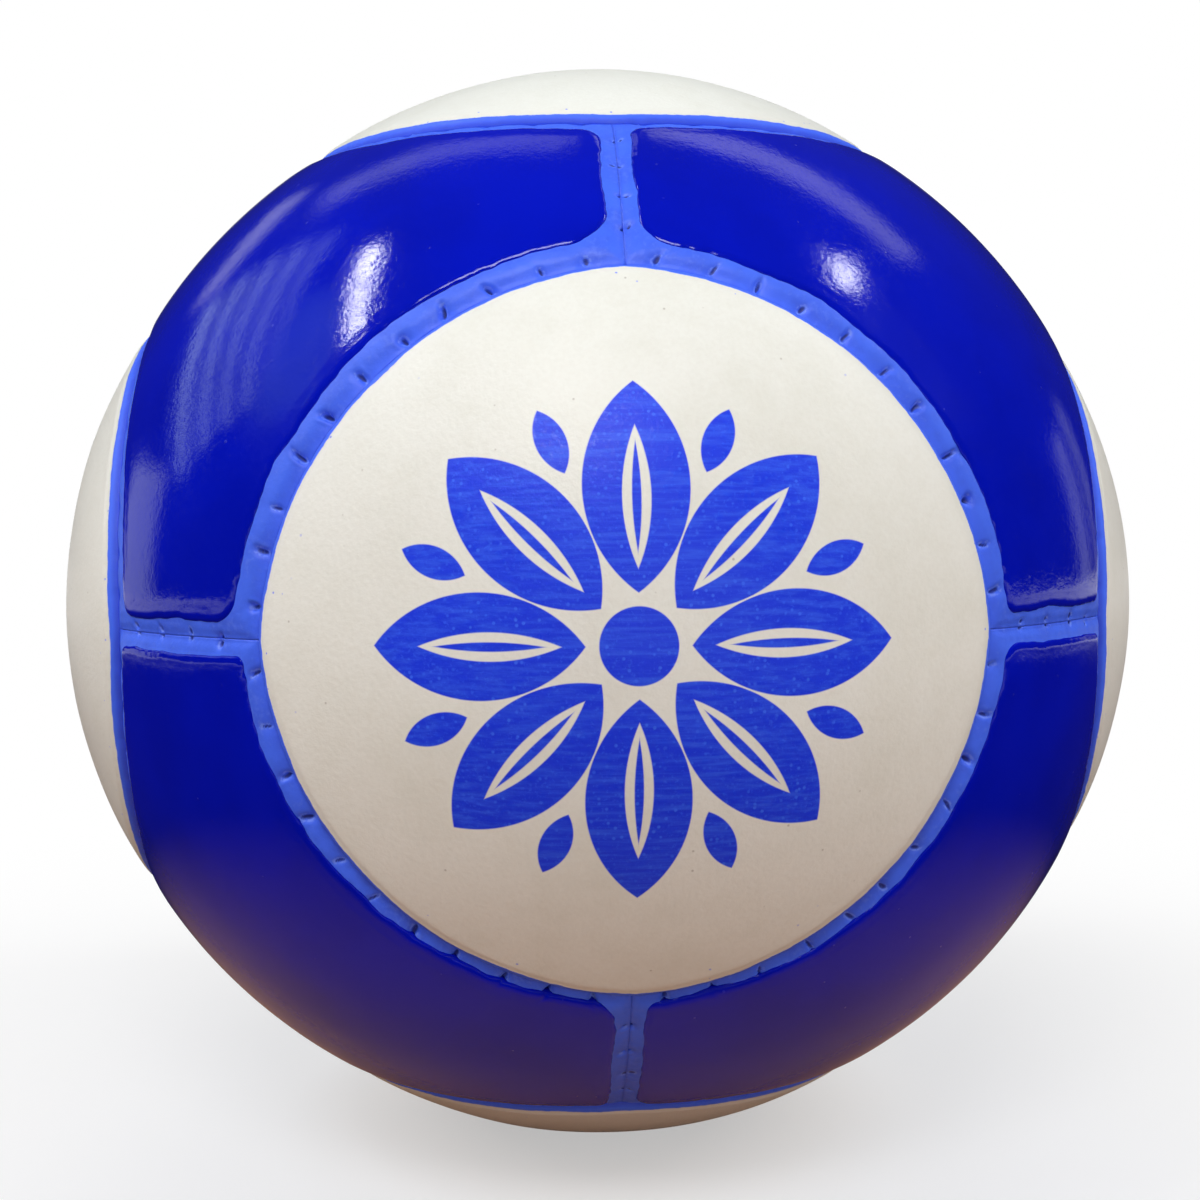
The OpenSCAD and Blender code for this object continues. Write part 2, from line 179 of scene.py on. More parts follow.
class BallSizes(bpy.types.PropertyGroup):
    """Sizes of the panels and of what lies under them."""

    ball_r: length("Ball radius", "Middle of a white panel to the middle of the ball",
                   (CAD_BOX[1].z - CAD_BOX[0].z) / 2)
    white_swell: length("White swell", "A white panel's middle past its corners", 1.6 * MM)
    blue_swell: length("Blue swell", "A blue panel's middle past its corners", 0.4 * MM)
    white_flat_w: length("White panel width", "Between two facing edges", 93.6 * MM)
    white_corner_w: length("White panel diagonal", "Between two facing corners", 96.2 * MM)
    cover_t: length("Cover", "Thickness of a cover and its turned-in edge", 2 * MM)
    seam_gap: length("Seam gap", "Between two turned-in edges", 0.2 * MM)
    valley_depth: length("Valley", "Depth of the valley between two edges", 1.6 * MM)
    valley_fill: length("Valley fill", "Paint and glue in the valley", 0.5 * MM)
    pair_fill: length("Pair fill", "Paint and glue in the valley of a short seam", 0.8 * MM)
    lip_paint_w: length("Painted lip", "Blue paint on a white cover beside its seam", 1.25 * MM)
    white_lip_w: length("White lip", "Rounding along a white cover", 1.7 * MM)
    blue_lip_w: length("Blue lip", "Rounding of a blue cover beside a white one", 4 * MM)
    pair_lip_w: length("Pair lip", "Rounding beside another blue cover", 2 * MM)
    coat_t: length("Gloss coat", "Thickness of the glossy coat", 0.3 * MM)
    coat_glue: length("Coat glue", "Glue line under the coat", 0.1 * MM)
    coat_corner_r: length("Coat corner", "Usual radius of the coat's corners", 2.6 * MM)
    padding_t: length("Padding", "Thickness of the padding at a panel's edge", 2.4 * MM)
    lay_gap: length("Layer gap", "Glue line between two layers", 0.2 * MM)
    stitch_pitch: length("Stitch pitch", "From one stitch to the next", 6.3 * MM)
    thread_d: length("Thread", "Thickness of the lacing where it crosses a seam", 0.8 * MM)
    run_d: length("Thread run", "Thickness of the doubled thread along an edge", 1 * MM)
    thread_clear: length("Thread clearance", "Around the lacing", 0.12 * MM)
    edge_stitches: IntProperty(name="Edge stitches", description="Along one edge of a white panel",
                               default=11, min=2)
    short_stitches: IntProperty(name="Short seam stitches", description="Between two blue panels",
                                default=4, min=2)
    bladder_t: length("Bladder", "Wall of the air bladder", 1.2 * MM)
    neck_r: length("Neck radius", "Of the valve's neck", 4.7 * MM)
    nozzle_r: length("Nozzle radius", "Of the valve's nozzle", 3.2 * MM)
    valve_clear: length("Valve clearance", "Around the valve's parts", 0.2 * MM)
    patch_r: length("Patch radius", "Of the cloth around the neck", 18 * MM)
    patch_t: length("Patch", "Thickness of that cloth", 0.7 * MM)
    print_r: length("Print radius", "Of the rosette on the front panel", 32 * MM)


class BallColours(bpy.types.PropertyGroup):
    """Colours of the ball's skins, print, thread and rubber."""

    cream: tone("Cream", "White cover", 236, 238, 231)
    cream_shade: tone("Cream shade", "Worn and handled patches of it", 221, 222, 210)
    band_blue: tone("Band blue", "Blue cover beside the gloss coat", 66, 110, 252)
    # Darker blotches of the band blue, and painted shade in the valley beside each seam
    band_dark_and_shade: tone("Band shade", "The same in the valley", 52, 84, 222)
    # Painted shade deep in a stitch pit
    pit_shade_blue: tone("Pit blue", "The same deep in a stitch pit", 20, 30, 120)
    gloss_blue: tone("Gloss blue", "Glossy coat", 0, 17, 186)
    gloss_shade: tone("Gloss shade", "Its darker clouds", 0, 12, 160)
    print_blue: tone("Print blue", "Printed rosette", 8, 54, 236)
    print_light: tone("Print light", "Specks and streaks in the print", 52, 104, 254)
    thread_blue: tone("Thread blue", "Lacing", 120, 150, 240)
    cloth: tone("Cloth", "Padding and patch", 214, 209, 200)
    rubber: tone("Rubber", "Bladder and valve", 38, 38, 40)
    plug_rubber: tone("Plug rubber", "Needle plug", 78, 78, 80)
    studio_white: tone("Studio white", "Floor and background", 255, 255, 255)
    floor_shade: tone("Floor shade", "Floor as it lights the ball", 150, 110, 84)
    floor_gleam: tone("Floor gleam", "Floor as the coats reflect it", 182, 138, 108)


class StudioLayout(bpy.types.PropertyGroup):
    """Camera and light levels."""

    lens: FloatProperty(name="Lens", description="Focal length for a 36 mm wide sensor",
                        default=49.4, min=10, max=300, subtype="DISTANCE_CAMERA")
    camera_away: length("Camera distance", "From the middle of the ball", 0.2835)
    key_power: power("Key light", "Large soft light above the camera", 2.3)
    side_power: power("Side lights", "Soft light on each side", 3.8)
    back_power: power("Back light", "Soft light behind the ball", 1.5)
    fill_power: power("Fill light", "Weak soft light beside the camera", 1.1)
    tube_power: power("Tube light", "Two small lights that the coats mirror", 0.5)
    room_level: FloatProperty(name="Room light", description="Level of the room light at the horizon",
                              default=0.55, min=0, max=2, subtype="FACTOR")


# Where the seams run


def unit(v):
    """A direction, or each row of them, at length 1."""
    v = np.asarray(v, float)
    return v / np.linalg.norm(v, axis=-1, keepdims=True)


class Seam:
    """One seam as a circle on the ball: its axis, the direction of its middle and the
    angle between the two. across counts from the seam, away from the axis."""

    def __init__(self, axis, middle, turn, stitches, pitch_turn, r, seed, paired):
        self.axis, self.turn, self.r, self.paired = unit(axis), turn, r, paired
        self.middle = unit(middle)
        flat = self.middle - self.axis * (self.middle @ self.axis)
        self.along_0 = unit(flat)
        self.along_1 = np.cross(self.axis, self.along_0)
        self.stitches, self.pitch_turn = stitches, pitch_turn
        # How far each stitch slips along, and the skew, depth, width, reach and ridge of its pit
        draw = np.random.default_rng(seed)
        self.slip = draw.uniform(-0.5, 0.5, stitches) * MM
        self.skew = draw.uniform(-0.45, 0.45, stitches)
        self.depth = draw.uniform(0.2, 1.25, stitches)
        self.width = draw.uniform(0.75, 1.35, stitches)
        self.reach = draw.uniform(0.6, 1.2, stitches)
        self.ridge = draw.choice((-1, 1), stitches) * draw.uniform(0.4, 1.2, stitches)

    def place(self, u):
        """How far directions u lie along and across the seam, in metres."""
        along = np.arctan2(u @ self.along_1, u @ self.along_0) * self.r * math.sin(self.turn)
        across = (np.arccos(np.clip(u @ self.axis, -1, 1)) - self.turn) * self.r
        return along, across

    def stitch_place(self, i):
        """Direction of stitch i, the direction across the seam there and the one along."""
        swing = (i - (self.stitches - 1) / 2) * self.pitch_turn
        flat = self.along_0 * math.cos(swing) + self.along_1 * math.sin(swing)
        out = self.axis * math.cos(self.turn) + flat * math.sin(self.turn)
        across = flat * math.cos(self.turn) - self.axis * math.sin(self.turn)
        return out, across, np.cross(out, across)


class BallPlan:
    """Everything that the panels share: levels, places across a seam, and the seams. The
    four edges of a white panel are circles whose axes tilt from the panel's own."""

    def __init__(self, sizes):
        self.sizes = sizes
        self.edge_r = sizes.ball_r - sizes.white_swell
        flat = math.asin(sizes.white_flat_w / 2 / self.edge_r)
        corner = math.asin(sizes.white_corner_w / 2 / self.edge_r)
        self.tilt = math.atan((math.cos(flat) - math.cos(corner)) /
                              (math.sin(flat) - math.sin(corner) * math.cos(math.pi / 4)))
        self.edge_turn, self.corner_turn = flat + self.tilt, corner
        self.valley_r = self.edge_r - sizes.valley_depth
        self.coat_stack = sizes.coat_t + sizes.coat_glue
        under_cover = self.edge_r - self.coat_stack - sizes.cover_t
        self.bladder_r = under_cover - 2 * sizes.lay_gap - sizes.padding_t
        self.floor_r = self.bladder_r + sizes.lay_gap
        self.half_gap = sizes.seam_gap / 2
        self.edge_in = self.half_gap + sizes.cover_t
        self.run_r = under_cover - sizes.thread_clear - sizes.run_d / 2
        self.run_off = self.edge_in + sizes.thread_clear + sizes.run_d / 2
        self.run_in = self.run_off + sizes.run_d / 2 + sizes.thread_clear
        self.touch, self.pair_touch = sizes.seam_gap / 10, sizes.seam_gap / 50
        self.white_dome = self.dome(sizes.ball_r, corner)
        blue_corner = math.acos((math.cos(corner) + math.sin(corner)) / math.sqrt(3))
        self.blue_dome = self.dome(self.edge_r + sizes.blue_swell, blue_corner)
        self.crumbs = Waves(SEEDS["crumbs"], 0.7 * MM, 2.6 * MM, count=28)
        self.edges = {face: self.face_edges(face, n) for n, face in enumerate(FACES)}
        self.shorts = {plane: self.short_seams(plane, n) for n, plane in enumerate(PLANES)}

    def dome(self, top, angle):
        """Middle and radius of the ball that a panel's face lies on."""
        rim = self.edge_r
        middle = (top * top - rim * rim) / (2 * (top - rim * math.cos(angle)))
        return middle, top - middle

    def face_edges(self, face, n):
        """The four seams around a white panel."""
        right, up, out = (np.array(v, float) for v in FACES[face])
        made = []
        pitch_turn = self.sizes.stitch_pitch / (self.run_r * math.sin(self.edge_turn))
        for k in range(4):
            swing = math.pi / 4 + k * RIGHT_ANGLE
            side = right * math.cos(swing) + up * math.sin(swing)
            axis = out * math.cos(self.tilt) - side * math.sin(self.tilt)
            flat_turn = self.edge_turn - self.tilt
            middle = out * math.cos(flat_turn) + side * math.sin(flat_turn)
            made.append(Seam(axis, middle, self.edge_turn, self.sizes.edge_stitches, pitch_turn,
                             self.edge_r, SEEDS["edge"] + 10 * n + k, False))
        return made

    def short_seams(self, plane, n):
        """The four seams between two blue panels that lie in a plane."""
        a, b, c = PLANES[plane]
        made = []
        pitch_turn = self.sizes.stitch_pitch / self.run_r
        for k, (p, q) in enumerate(((1, 1), (-1, 1), (-1, -1), (1, -1))):
            axis, middle = np.zeros(3), np.zeros(3)
            axis[c] = 1
            middle[a], middle[b] = p, q
            made.append(Seam(axis, middle, RIGHT_ANGLE, self.sizes.short_stitches, pitch_turn,
                             self.edge_r, SEEDS["short"] + 10 * n + k, True))
        return made


def corner_rounding(plan, corner, seed):
    """The radius of a coat's corner nearest to each direction, after CORNER_ROUNDS."""
    signs = np.array(CORNERS[corner], float)
    draw = np.random.default_rng(seed)
    corner_reach = 10 * MM
    places, radii = [], []
    for plane, (_, _, normal) in PLANES.items():
        for axis in range(3):
            if axis == normal:
                continue
            face = next(name for name, (_, _, out) in FACES.items() if out[axis] == signs[axis])
            other = 3 - normal - axis
            place = np.zeros(3)
            place[axis] = math.cos(plan.corner_turn) * signs[axis]
            place[other] = math.sin(plan.corner_turn) * signs[other]
            places.append(place)
            share = draw.uniform(0.5, 1.8)
            radii.append(CORNER_ROUNDS.get((corner, face, plane), share) * plan.sizes.coat_corner_r)

    def radius(u):
        made = np.full(u.shape[:-1], plan.sizes.coat_corner_r)
        for place, r in zip(places, radii):
            away = np.linalg.norm(u - place, axis=-1) * plan.edge_r
            made += (r - plan.sizes.coat_corner_r) * np.exp(-(away / corner_reach) ** 2)
        return made

    return radius


class Panel:
    """One panel: its middle, its seams with the side that it lies on, and its levels."""

    def __init__(self, plan, middle, seams, dome, drop, lips):
        self.plan, self.middle, self.seams = plan, unit(middle), seams
        self.dome_middle, self.dome_r = dome
        self.drop, self.lips = drop, lips
        helper = np.array((0.0, 0.0, 1.0)) if abs(self.middle[2]) < 0.9 else np.array((1.0, 0, 0))
        self.ref_0 = unit(np.cross(helper, self.middle))
        self.ref_1 = np.cross(self.middle, self.ref_0)

    def ray(self, swing, lean):
        """Directions that lean away from the panel's middle towards a swing about it."""
        flat = (np.cos(swing)[..., None] * self.ref_0 + np.sin(swing)[..., None] * self.ref_1)
        return np.cos(lean)[..., None] * self.middle + np.sin(lean)[..., None] * flat

    def inside(self, u, edge=0.0, pair=0.0, corner_r=None):
        """How far inside the outline directions u lie, after an inset from each seam.
        corner_r rounds the corners, by a radius for each direction."""
        near_edge = np.full(u.shape[:-1], 1.0)
        near_pair = np.full(u.shape[:-1], 1.0)
        for seam, side in self.seams:
            deep = side * seam.place(u)[1]
            if seam.paired:
                near_pair = np.minimum(near_pair, deep - pair)
            else:
                near_edge = np.minimum(near_edge, deep - edge)
        if corner_r is not None:
            short = np.hypot(np.maximum(corner_r - near_edge, 0), np.maximum(corner_r - near_pair, 0))
            return np.minimum(np.minimum(near_edge, near_pair), corner_r - short)
        return np.minimum(near_edge, near_pair)

    def outline(self, count, inside):
        """Swings, spaced evenly along the outline, and the lean of the outline at each."""
        fine = np.linspace(0, 2 * math.pi, 6 * count, endpoint=False)
        lean = self.reach(fine, inside)
        line = self.ray(fine, lean)
        step = np.linalg.norm(np.roll(line, -1, 0) - line, axis=1)
        far = np.concatenate(([0], np.cumsum(step)))
        even = np.arange(count) * far[-1] / count
        swing = np.interp(even, far, np.append(fine, 2 * math.pi))
        return swing, self.reach(swing, inside)

    def reach(self, swing, inside):
        """How far the outline leans from the panel's middle at each swing, by halving."""
        low, high = np.zeros_like(swing), np.full_like(swing, WIDEST_LEAN)
        for _ in range(HALVINGS):
            half = (low + high) / 2
            within = inside(self.ray(swing, half)) > 0
            low, high = np.where(within, half, low), np.where(within, high, half)
        return low

    def on_dome(self, u, depth):
        """Distance of the panel's face from the ball's middle, less a depth."""
        lean = u @ self.middle
        off, radius = self.dome_middle, self.dome_r - depth
        return off * lean + np.sqrt(radius * radius - off * off * (1 - lean * lean))

    def skin(self, u, drawn_in=1.0):
        """Level of the cover's outer face: dome, rolled lips, filled valley and stitches,
        drawn in by a share. Also how far into a stitch pit each place is, 0 to 1."""
        plan = self.plan
        level = self.on_dome(u, self.drop)
        pull, pit = np.zeros_like(level), np.zeros_like(level)
        by_pair, off_edge = np.zeros_like(level), np.ones_like(level)
        crumbs = plan.crumbs(u * plan.edge_r)
        for seam, side in self.seams:
            along, across = seam.place(u)
            deep = side * across
            lip_w, lip_h = self.lips[seam.paired]
            level = soft_least(level, lip_level(deep, lip_w, lip_h, plan.valley_r), LIP_BLEND)
            drawn, sharp = stitch_marks(seam, deep, along, across, side > 0, crumbs, plan)
            pull += drawn
            pit = np.maximum(pit, sharp)
            if seam.paired:
                by_pair = np.maximum(by_pair, ease(deep, *PAIR_FILL_ENDS))
            else:
                off_edge = np.minimum(off_edge, ease(deep, *EDGE_FILL_ENDS))
        more = (plan.sizes.pair_fill - plan.sizes.valley_fill) * by_pair * off_edge
        floor = plan.valley_r + plan.sizes.valley_fill + more
        level = -soft_least(-level, -floor, VALLEY_BLEND)
        near = np.exp(-np.clip(self.inside(u), 0, None) / CRUMB_REACH)
        return level - drawn_in * pull - CRUMB_LIFT * crumbs * near, pit


def soft_least(a, b, blend):
    """The lesser of two levels, with their crease rounded over a blend width."""
    share = np.clip(0.5 + 0.5 * (b - a) / blend, 0, 1)
    return b * (1 - share) + a * share - blend * share * (1 - share)


def ease(value, low, high):
    """Rises smoothly from 0 to 1 while value goes from low to high."""
    share = np.clip((value - low) / (high - low), 0, 1)
    return share * share * (3 - 2 * share)


def lip_level(deep, lip_w, lip_h, valley_r):
    """Level of a rolled edge, deep metres inside a panel."""
    lip_r = (lip_w ** 2 + lip_h ** 2) / (2 * lip_h)
    short = np.clip(lip_w - deep, 0, lip_w)
    rolled = valley_r + lip_h - lip_r + np.sqrt(lip_r ** 2 - short ** 2)
    return rolled + np.maximum(deep - lip_w, 0) * 0.6


def stitch_marks(seam, deep, along, across, outer, crumbs, plan):
    """How far the stitches of a seam draw the skin in, deep metres inside a panel, and how
    far into a pit each place is: a ragged notch across the lip, a ridge beside it and a
    wide dip around it, which leaves a pillow between two stitches. outer says that the
    panel is on the side away from the seam's axis, the blue side of a white one's edge."""
    kind = "short" if seam.paired else "blue" if outer else "white"
    depth, half_w, dip_h, dip_l, dip_from, dip_to = STITCH_MARKS[kind]
    pitch = seam.pitch_turn * plan.edge_r * math.sin(seam.turn)
    last = seam.stitches - 1
    i = np.clip(np.rint(along / pitch + last / 2), 0, last).astype(int)
    off = along - (i - last / 2) * pitch - seam.slip[i]
    ragged = off + crumbs * CRUMB_SHIFT
    if kind == "short":
        side = np.sign(seam.ridge[i]) * (1.0 if outer else -1.0)
        middle = (0.45 + 0.35 * side) * MM
        lean = ragged + across * seam.skew[i]
        hold = np.exp(-(np.abs(deep - middle) / (0.5 * MM * seam.reach[i])) ** 2.4)
    elif kind == "blue":
        middle = (0.5 + seam.reach[i]) * MM
        lean = ragged + (deep - middle) * seam.skew[i]
        hold = np.exp(-(np.abs(deep - middle) / (0.95 * MM * seam.reach[i])) ** 2.6)
    else:
        lean = ragged
        hold = ease(deep, 1.3 * MM, 0.2 * MM)
    drawn = depth * seam.depth[i]
    wide = half_w * (1.0 if kind == "white" else seam.width[i])
    dip = dip_h * np.exp(-(off / dip_l) ** 2) * ease(deep, dip_from, dip_to)
    notch = np.exp(-(np.abs(lean) / wide) ** 1.6) * hold
    ridge_at = lean - np.sign(seam.ridge[i]) * 2.0 * wide
    ridge = 0.17 * drawn * np.abs(seam.ridge[i]) * np.exp(-(ridge_at / (0.7 * wide)) ** 2) * hold
    return drawn * notch - ridge + dip, notch * (0.0 if kind == "white" else 1.0)


class Waves:
    """Smooth unevenness in space: a seeded sum of plane waves, about -1 to 1."""

    def __init__(self, seed, shortest, longest, count=20):
        draw = np.random.default_rng(seed)
        size = np.exp(draw.uniform(math.log(shortest), math.log(longest), count))
        self.ways = unit(draw.normal(size=(count, 3))) * (2 * math.pi / size)[:, None]
        self.start = draw.uniform(0, 2 * math.pi, count)
        self.share = size / np.sqrt((size ** 2).sum() / 2)

    def __call__(self, points):
        made = np.zeros(points.shape[:-1])
        for way, start, share in zip(self.ways, self.start, self.share):
            made += share * np.sin(points @ way + start)
        return made / 2


# Meshes of rings


def band(a, b, start, end):
    """Faces between two rings of vertices that begin at start and end. One ring may
    have twice as many vertices as the other."""
    if a == b:
        j = np.arange(a)
        k = (j + 1) % a
        return [np.stack((start + j, end + j, end + k, start + k), 1)]
    if a == 2 * b:
        return [block[:, ::-1] for block in band(b, a, end, start)]
    j = np.arange(a)
    k = (j + 1) % a
    odd, even, after = 2 * j + 1, 2 * j, 2 * k
    return [np.stack((start + j, end + even, end + odd), 1),
            np.stack((start + j, end + odd, start + k), 1),
            np.stack((start + k, end + odd, end + after), 1)]


def solid(name, points, faces, facts):
    """An object from points and blocks of faces, turned to look outward. facts holds
    numbers for each vertex, by name."""
    mesh = bpy.data.meshes.new(name)
    mesh.from_pydata(points.tolist(), [], [face for block in faces for face in block.tolist()])
    mesh.update()
    if signed_volume(mesh) < 0:
        mesh.flip_normals()
    for key, values in facts.items():
        mesh.attributes.new(key, "FLOAT", "POINT").data.foreach_set("value", values)
    mesh.shade_smooth()
    if mesh.validate():
        raise RuntimeError(f"{name} has broken faces")
    made = bpy.data.objects.new(name, mesh)
    bpy.context.scene.collection.objects.link(made)
    return made


def ring_mesh(name, rings, facts=(), caps=True):
    """A closed mesh from rings, each outward of the last and then back under it. A ring is
    a tuple of its points and the numbers that the mesh holds under the names in facts.
    caps closes the first and last ring, and otherwise they are joined."""
    points = np.concatenate([p for p, *_ in rings])
    starts = np.concatenate(([0], np.cumsum([len(p) for p, *_ in rings])))
    faces = []
    for n in range(len(rings) - 1):
        faces += band(len(rings[n][0]), len(rings[n + 1][0]), starts[n], starts[n + 1])
    if caps:
        first, last = rings[0][0], rings[-1][0]
        points = np.concatenate((points, [first.mean(0)], [last.mean(0)]))
        j = np.arange(len(first))
        top = np.stack((np.full(len(first), len(points) - 2), j, (j + 1) % len(first)), 1)
        j = np.arange(len(last))
        low = np.stack((np.full(len(last), len(points) - 1),
                        starts[-2] + (j + 1) % len(last), starts[-2] + j), 1)
        faces += [top, low]
    else:
        faces += band(len(rings[-1][0]), len(rings[0][0]), starts[-2], starts[0])
    held = {}
    for n, key in enumerate(facts, start=1):
        values = np.concatenate([ring[n] for ring in rings])
        held[key] = np.append(values, (values[0], values[-1])) if caps else values
    return solid(name, points, faces, held)


def signed_volume(mesh):
    """Volume that the mesh's faces enclose, below zero where they face inward."""
    mesh.calc_loop_triangles()
    count = len(mesh.loop_triangles)
    corners = np.zeros(count * 3, np.int32)
    mesh.loop_triangles.foreach_get("vertices", corners)
    co = np.zeros(len(mesh.vertices) * 3)
    mesh.vertices.foreach_get("co", co)
    a, b, c = co.reshape(-1, 3)[corners].reshape(count, 3, 3).transpose(1, 0, 2)
    return float(np.einsum("ij,ij->i", a, np.cross(b, c)).sum())


def growing(first, growth, longest, total):
    """Distances from 0 to a total, in steps that grow up to a longest one."""
    made, step = [0.0], first
    while made[-1] + step < total:
        made.append(made[-1] + step)
        step = min(step * growth, longest)
    return made


def thinned(step, halved, quartered):
    """Step between the vertices that a ring keeps, after how far inside the outline it is."""
    return 1 if step < halved else 2 if step < quartered else 4


def inner_hole(lean, hole_r, r):
    """Share of each lean at which a round hole in a panel's middle starts."""
    return np.full_like(lean, math.asin(hole_r / r)) / lean


# Shaders as expressions


class Flow:
    """A socket of a shader. Sums and products of flows add their Math nodes."""

    def __init__(self, finish, socket):
        self.finish, self.socket = finish, socket

    def math(self, operation, *others):
        return self.finish.math(operation, self, *others)

    def __add__(self, other):
        return self.math("ADD", other)

    def __mul__(self, other):
        return self.math("MULTIPLY", other)

    def __sub__(self, other):
        return self.math("SUBTRACT", other)

    def __truediv__(self, other):
        return self.math("DIVIDE", other)

    def __pow__(self, other):
        return self.math("POWER", other)

    def __rsub__(self, other):
        return self.finish.math("SUBTRACT", other, self)

    def __rtruediv__(self, other):
        return self.finish.math("DIVIDE", other, self)

    def __rpow__(self, other):
        return self.finish.math("POWER", other, self)

    __radd__ = __add__
    __rmul__ = __mul__


class Finish:
    """A material or world in the making: its nodes, added one by one, and its shader.
    The scale of noise and cells is per millimetre."""

    def __init__(self, owner):
        self.owner = owner
        owner.use_nodes = True
        self.tree = owner.node_tree
        self.tree.nodes.clear()
        place = self.node("ShaderNodeTexCoord", out="Object")
        self.place = self.scaled(place, 1 / MM)

    def node(self, kind, settings=(), sockets=(), out=0):
        """Adds a node: settings first, then the values or links of its sockets."""
        made = self.tree.nodes.new(kind)
        for key, value in dict(settings).items():
            setattr(made, key, value)
        for key, value in dict(sockets).items():
            if isinstance(value, Flow):
                self.tree.links.new(value.socket, made.inputs[key])
            else:
                made.inputs[key].default_value = value
        return Flow(self, made.outputs[out]) if made.outputs else None

    def math(self, operation, *values):
        return self.node("ShaderNodeMath", {"operation": operation}, dict(enumerate(values)))

    def scaled(self, vector, by):
        return self.node("ShaderNodeVectorMath", {"operation": "SCALE"}, {0: vector, "Scale": by})

    def dot(self, vector, way):
        return self.node("ShaderNodeVectorMath", {"operation": "DOT_PRODUCT"}, {0: vector, 1: way},
                         "Value")

    def parts(self, vector):
        first = self.node("ShaderNodeSeparateXYZ", sockets={0: vector})
        return [Flow(self, out) for out in first.socket.node.outputs]

    def fact(self, key):
        """A number that the mesh holds at each vertex."""
        return self.node("ShaderNodeAttribute", {"attribute_name": key}, out="Fac")

    def noise(self, per_mm, detail=2.0, rough=0.5, place=None):
        return self.node("ShaderNodeTexNoise", {"noise_dimensions": "3D"},
                         {"Vector": place or self.place, "Scale": per_mm, "Detail": detail,
                          "Roughness": rough})

    def cells(self, per_mm, feature="F1", out="Distance"):
        return self.node("ShaderNodeTexVoronoi", {"feature": feature},
                         {"Vector": self.place, "Scale": per_mm}, out)

    def specks(self, per_mm, rim, heart, least, most):
        """Mask of specks that rise from a cell's rim to its heart, in the cells whose own
        random number is past least, and fully past most."""
        picked = self.parts(self.cells(per_mm, out="Color"))[0]
        return self.step(self.cells(per_mm), rim, heart) * self.step(picked, least, most)

    def step(self, value, low, high, start=0.0, end=1.0):
        """Rises smoothly from start to end while value goes from low to high."""
        return self.node("ShaderNodeMapRange", {"interpolation_type": "SMOOTHSTEP"},
                         {"Value": value, "From Min": low, "From Max": high,
                          "To Min": start, "To Max": end})

    def mix(self, share, a, b):
        """A colour between two."""
        a, b = (tint if isinstance(tint, Flow) else (*tint, 1) for tint in (a, b))
        return self.node("ShaderNodeMix", {"data_type": "RGBA"}, {0: share, 6: a, 7: b}, 2)

    def any_ray(self, *kinds):
        """1 for rays of any of the kinds, such as "Camera", and otherwise 0."""
        seen, *others = (self.node("ShaderNodeLightPath", out=f"Is {kind} Ray") for kind in kinds)
        for other in others:
            seen = seen.math("MAXIMUM", other)
        return seen

    def stretched(self, x, y, z, turn=(0, 0, 0)):
        """The place in the piece, turned and then scaled along each axis."""
        turned = self.node("ShaderNodeVectorRotate", {"rotation_type": "EULER_XYZ"},
                           {"Vector": self.place, "Rotation": turn})
        return self.node("ShaderNodeVectorMath", {"operation": "MULTIPLY"},
                         {0: turned, 1: (x, y, z)})

    def bump(self, height, distance, strength):
        """A normal from a height. The distance is in millimetres."""
        return self.node("ShaderNodeBump", sockets={"Height": height, "Distance": distance * MM,
                                                    "Strength": strength})

    def done(self, colour, roughness, normal, **still):
        """Ends the material in a Principled shader. What is still is the same all over."""
        sockets = {"Base Color": colour, "Roughness": roughness, "Normal": normal}
        sockets.update({key.replace("_", " "): value for key, value in still.items()})
        return self.end(self.node("ShaderNodeBsdfPrincipled", sockets=sockets))

    def plain(self, kind, colour):
        """A light of one strength."""
        return self.node(kind, sockets={"Color": colour, "Strength": 1.0})

    def end(self, shader):
        kind = "Material" if isinstance(self.owner, bpy.types.Material) else "World"
        self.node(f"ShaderNodeOutput{kind}", sockets={"Surface": shader})
        return self.owner


def new_finish(name):
    return Finish(bpy.data.materials.new(name))


def rosette(finish, print_r):
    """Mask of a round flower of eight petals with veins, lozenges between and a disc."""
    x, _, z = finish.parts(finish.place)
    r = (x * x + z * z) ** 0.5
    swing = z.math("ARCTAN2", x)
    size = print_r / MM
    petals, edge = 8, 0.1
    sector = 2 * math.pi / petals

    def oval(shift, middle, half_l, half_w):
        """Mask of a pointed oval on each ray, in shares of the print's radius. A shift of
        a half turns the rays by half a sector."""
        half_l, half_w = size * half_l, size * half_w
        lean = ((swing / sector + shift + petals).math("FRACT") - 0.5) * sector
        along, across = r * lean.math("COSINE"), (r * lean.math("SINE")).math("ABSOLUTE")
        arc_r = (half_l ** 2 + half_w ** 2) / (2 * half_w)
        side = across + (arc_r - half_w)
        away = along - size * middle
        return finish.step(arc_r - (away * away + side * side) ** 0.5, -edge, edge)

    petal = oval(0.5, 0.6, 0.4, 0.205)
    vein = oval(0.5, 0.56, 0.27, 0.055)
    heart = oval(0.5, 0.56, 0.21, 0.018)
    lozenge = oval(0.0, 0.83, 0.13, 0.06)
    disc = finish.step(size * 0.15 - r, -edge, edge)
    flower = (petal - petal * vein).math("MAXIMUM", heart * petal)
    return flower.math("MAXIMUM", lozenge).math("MAXIMUM", disc)


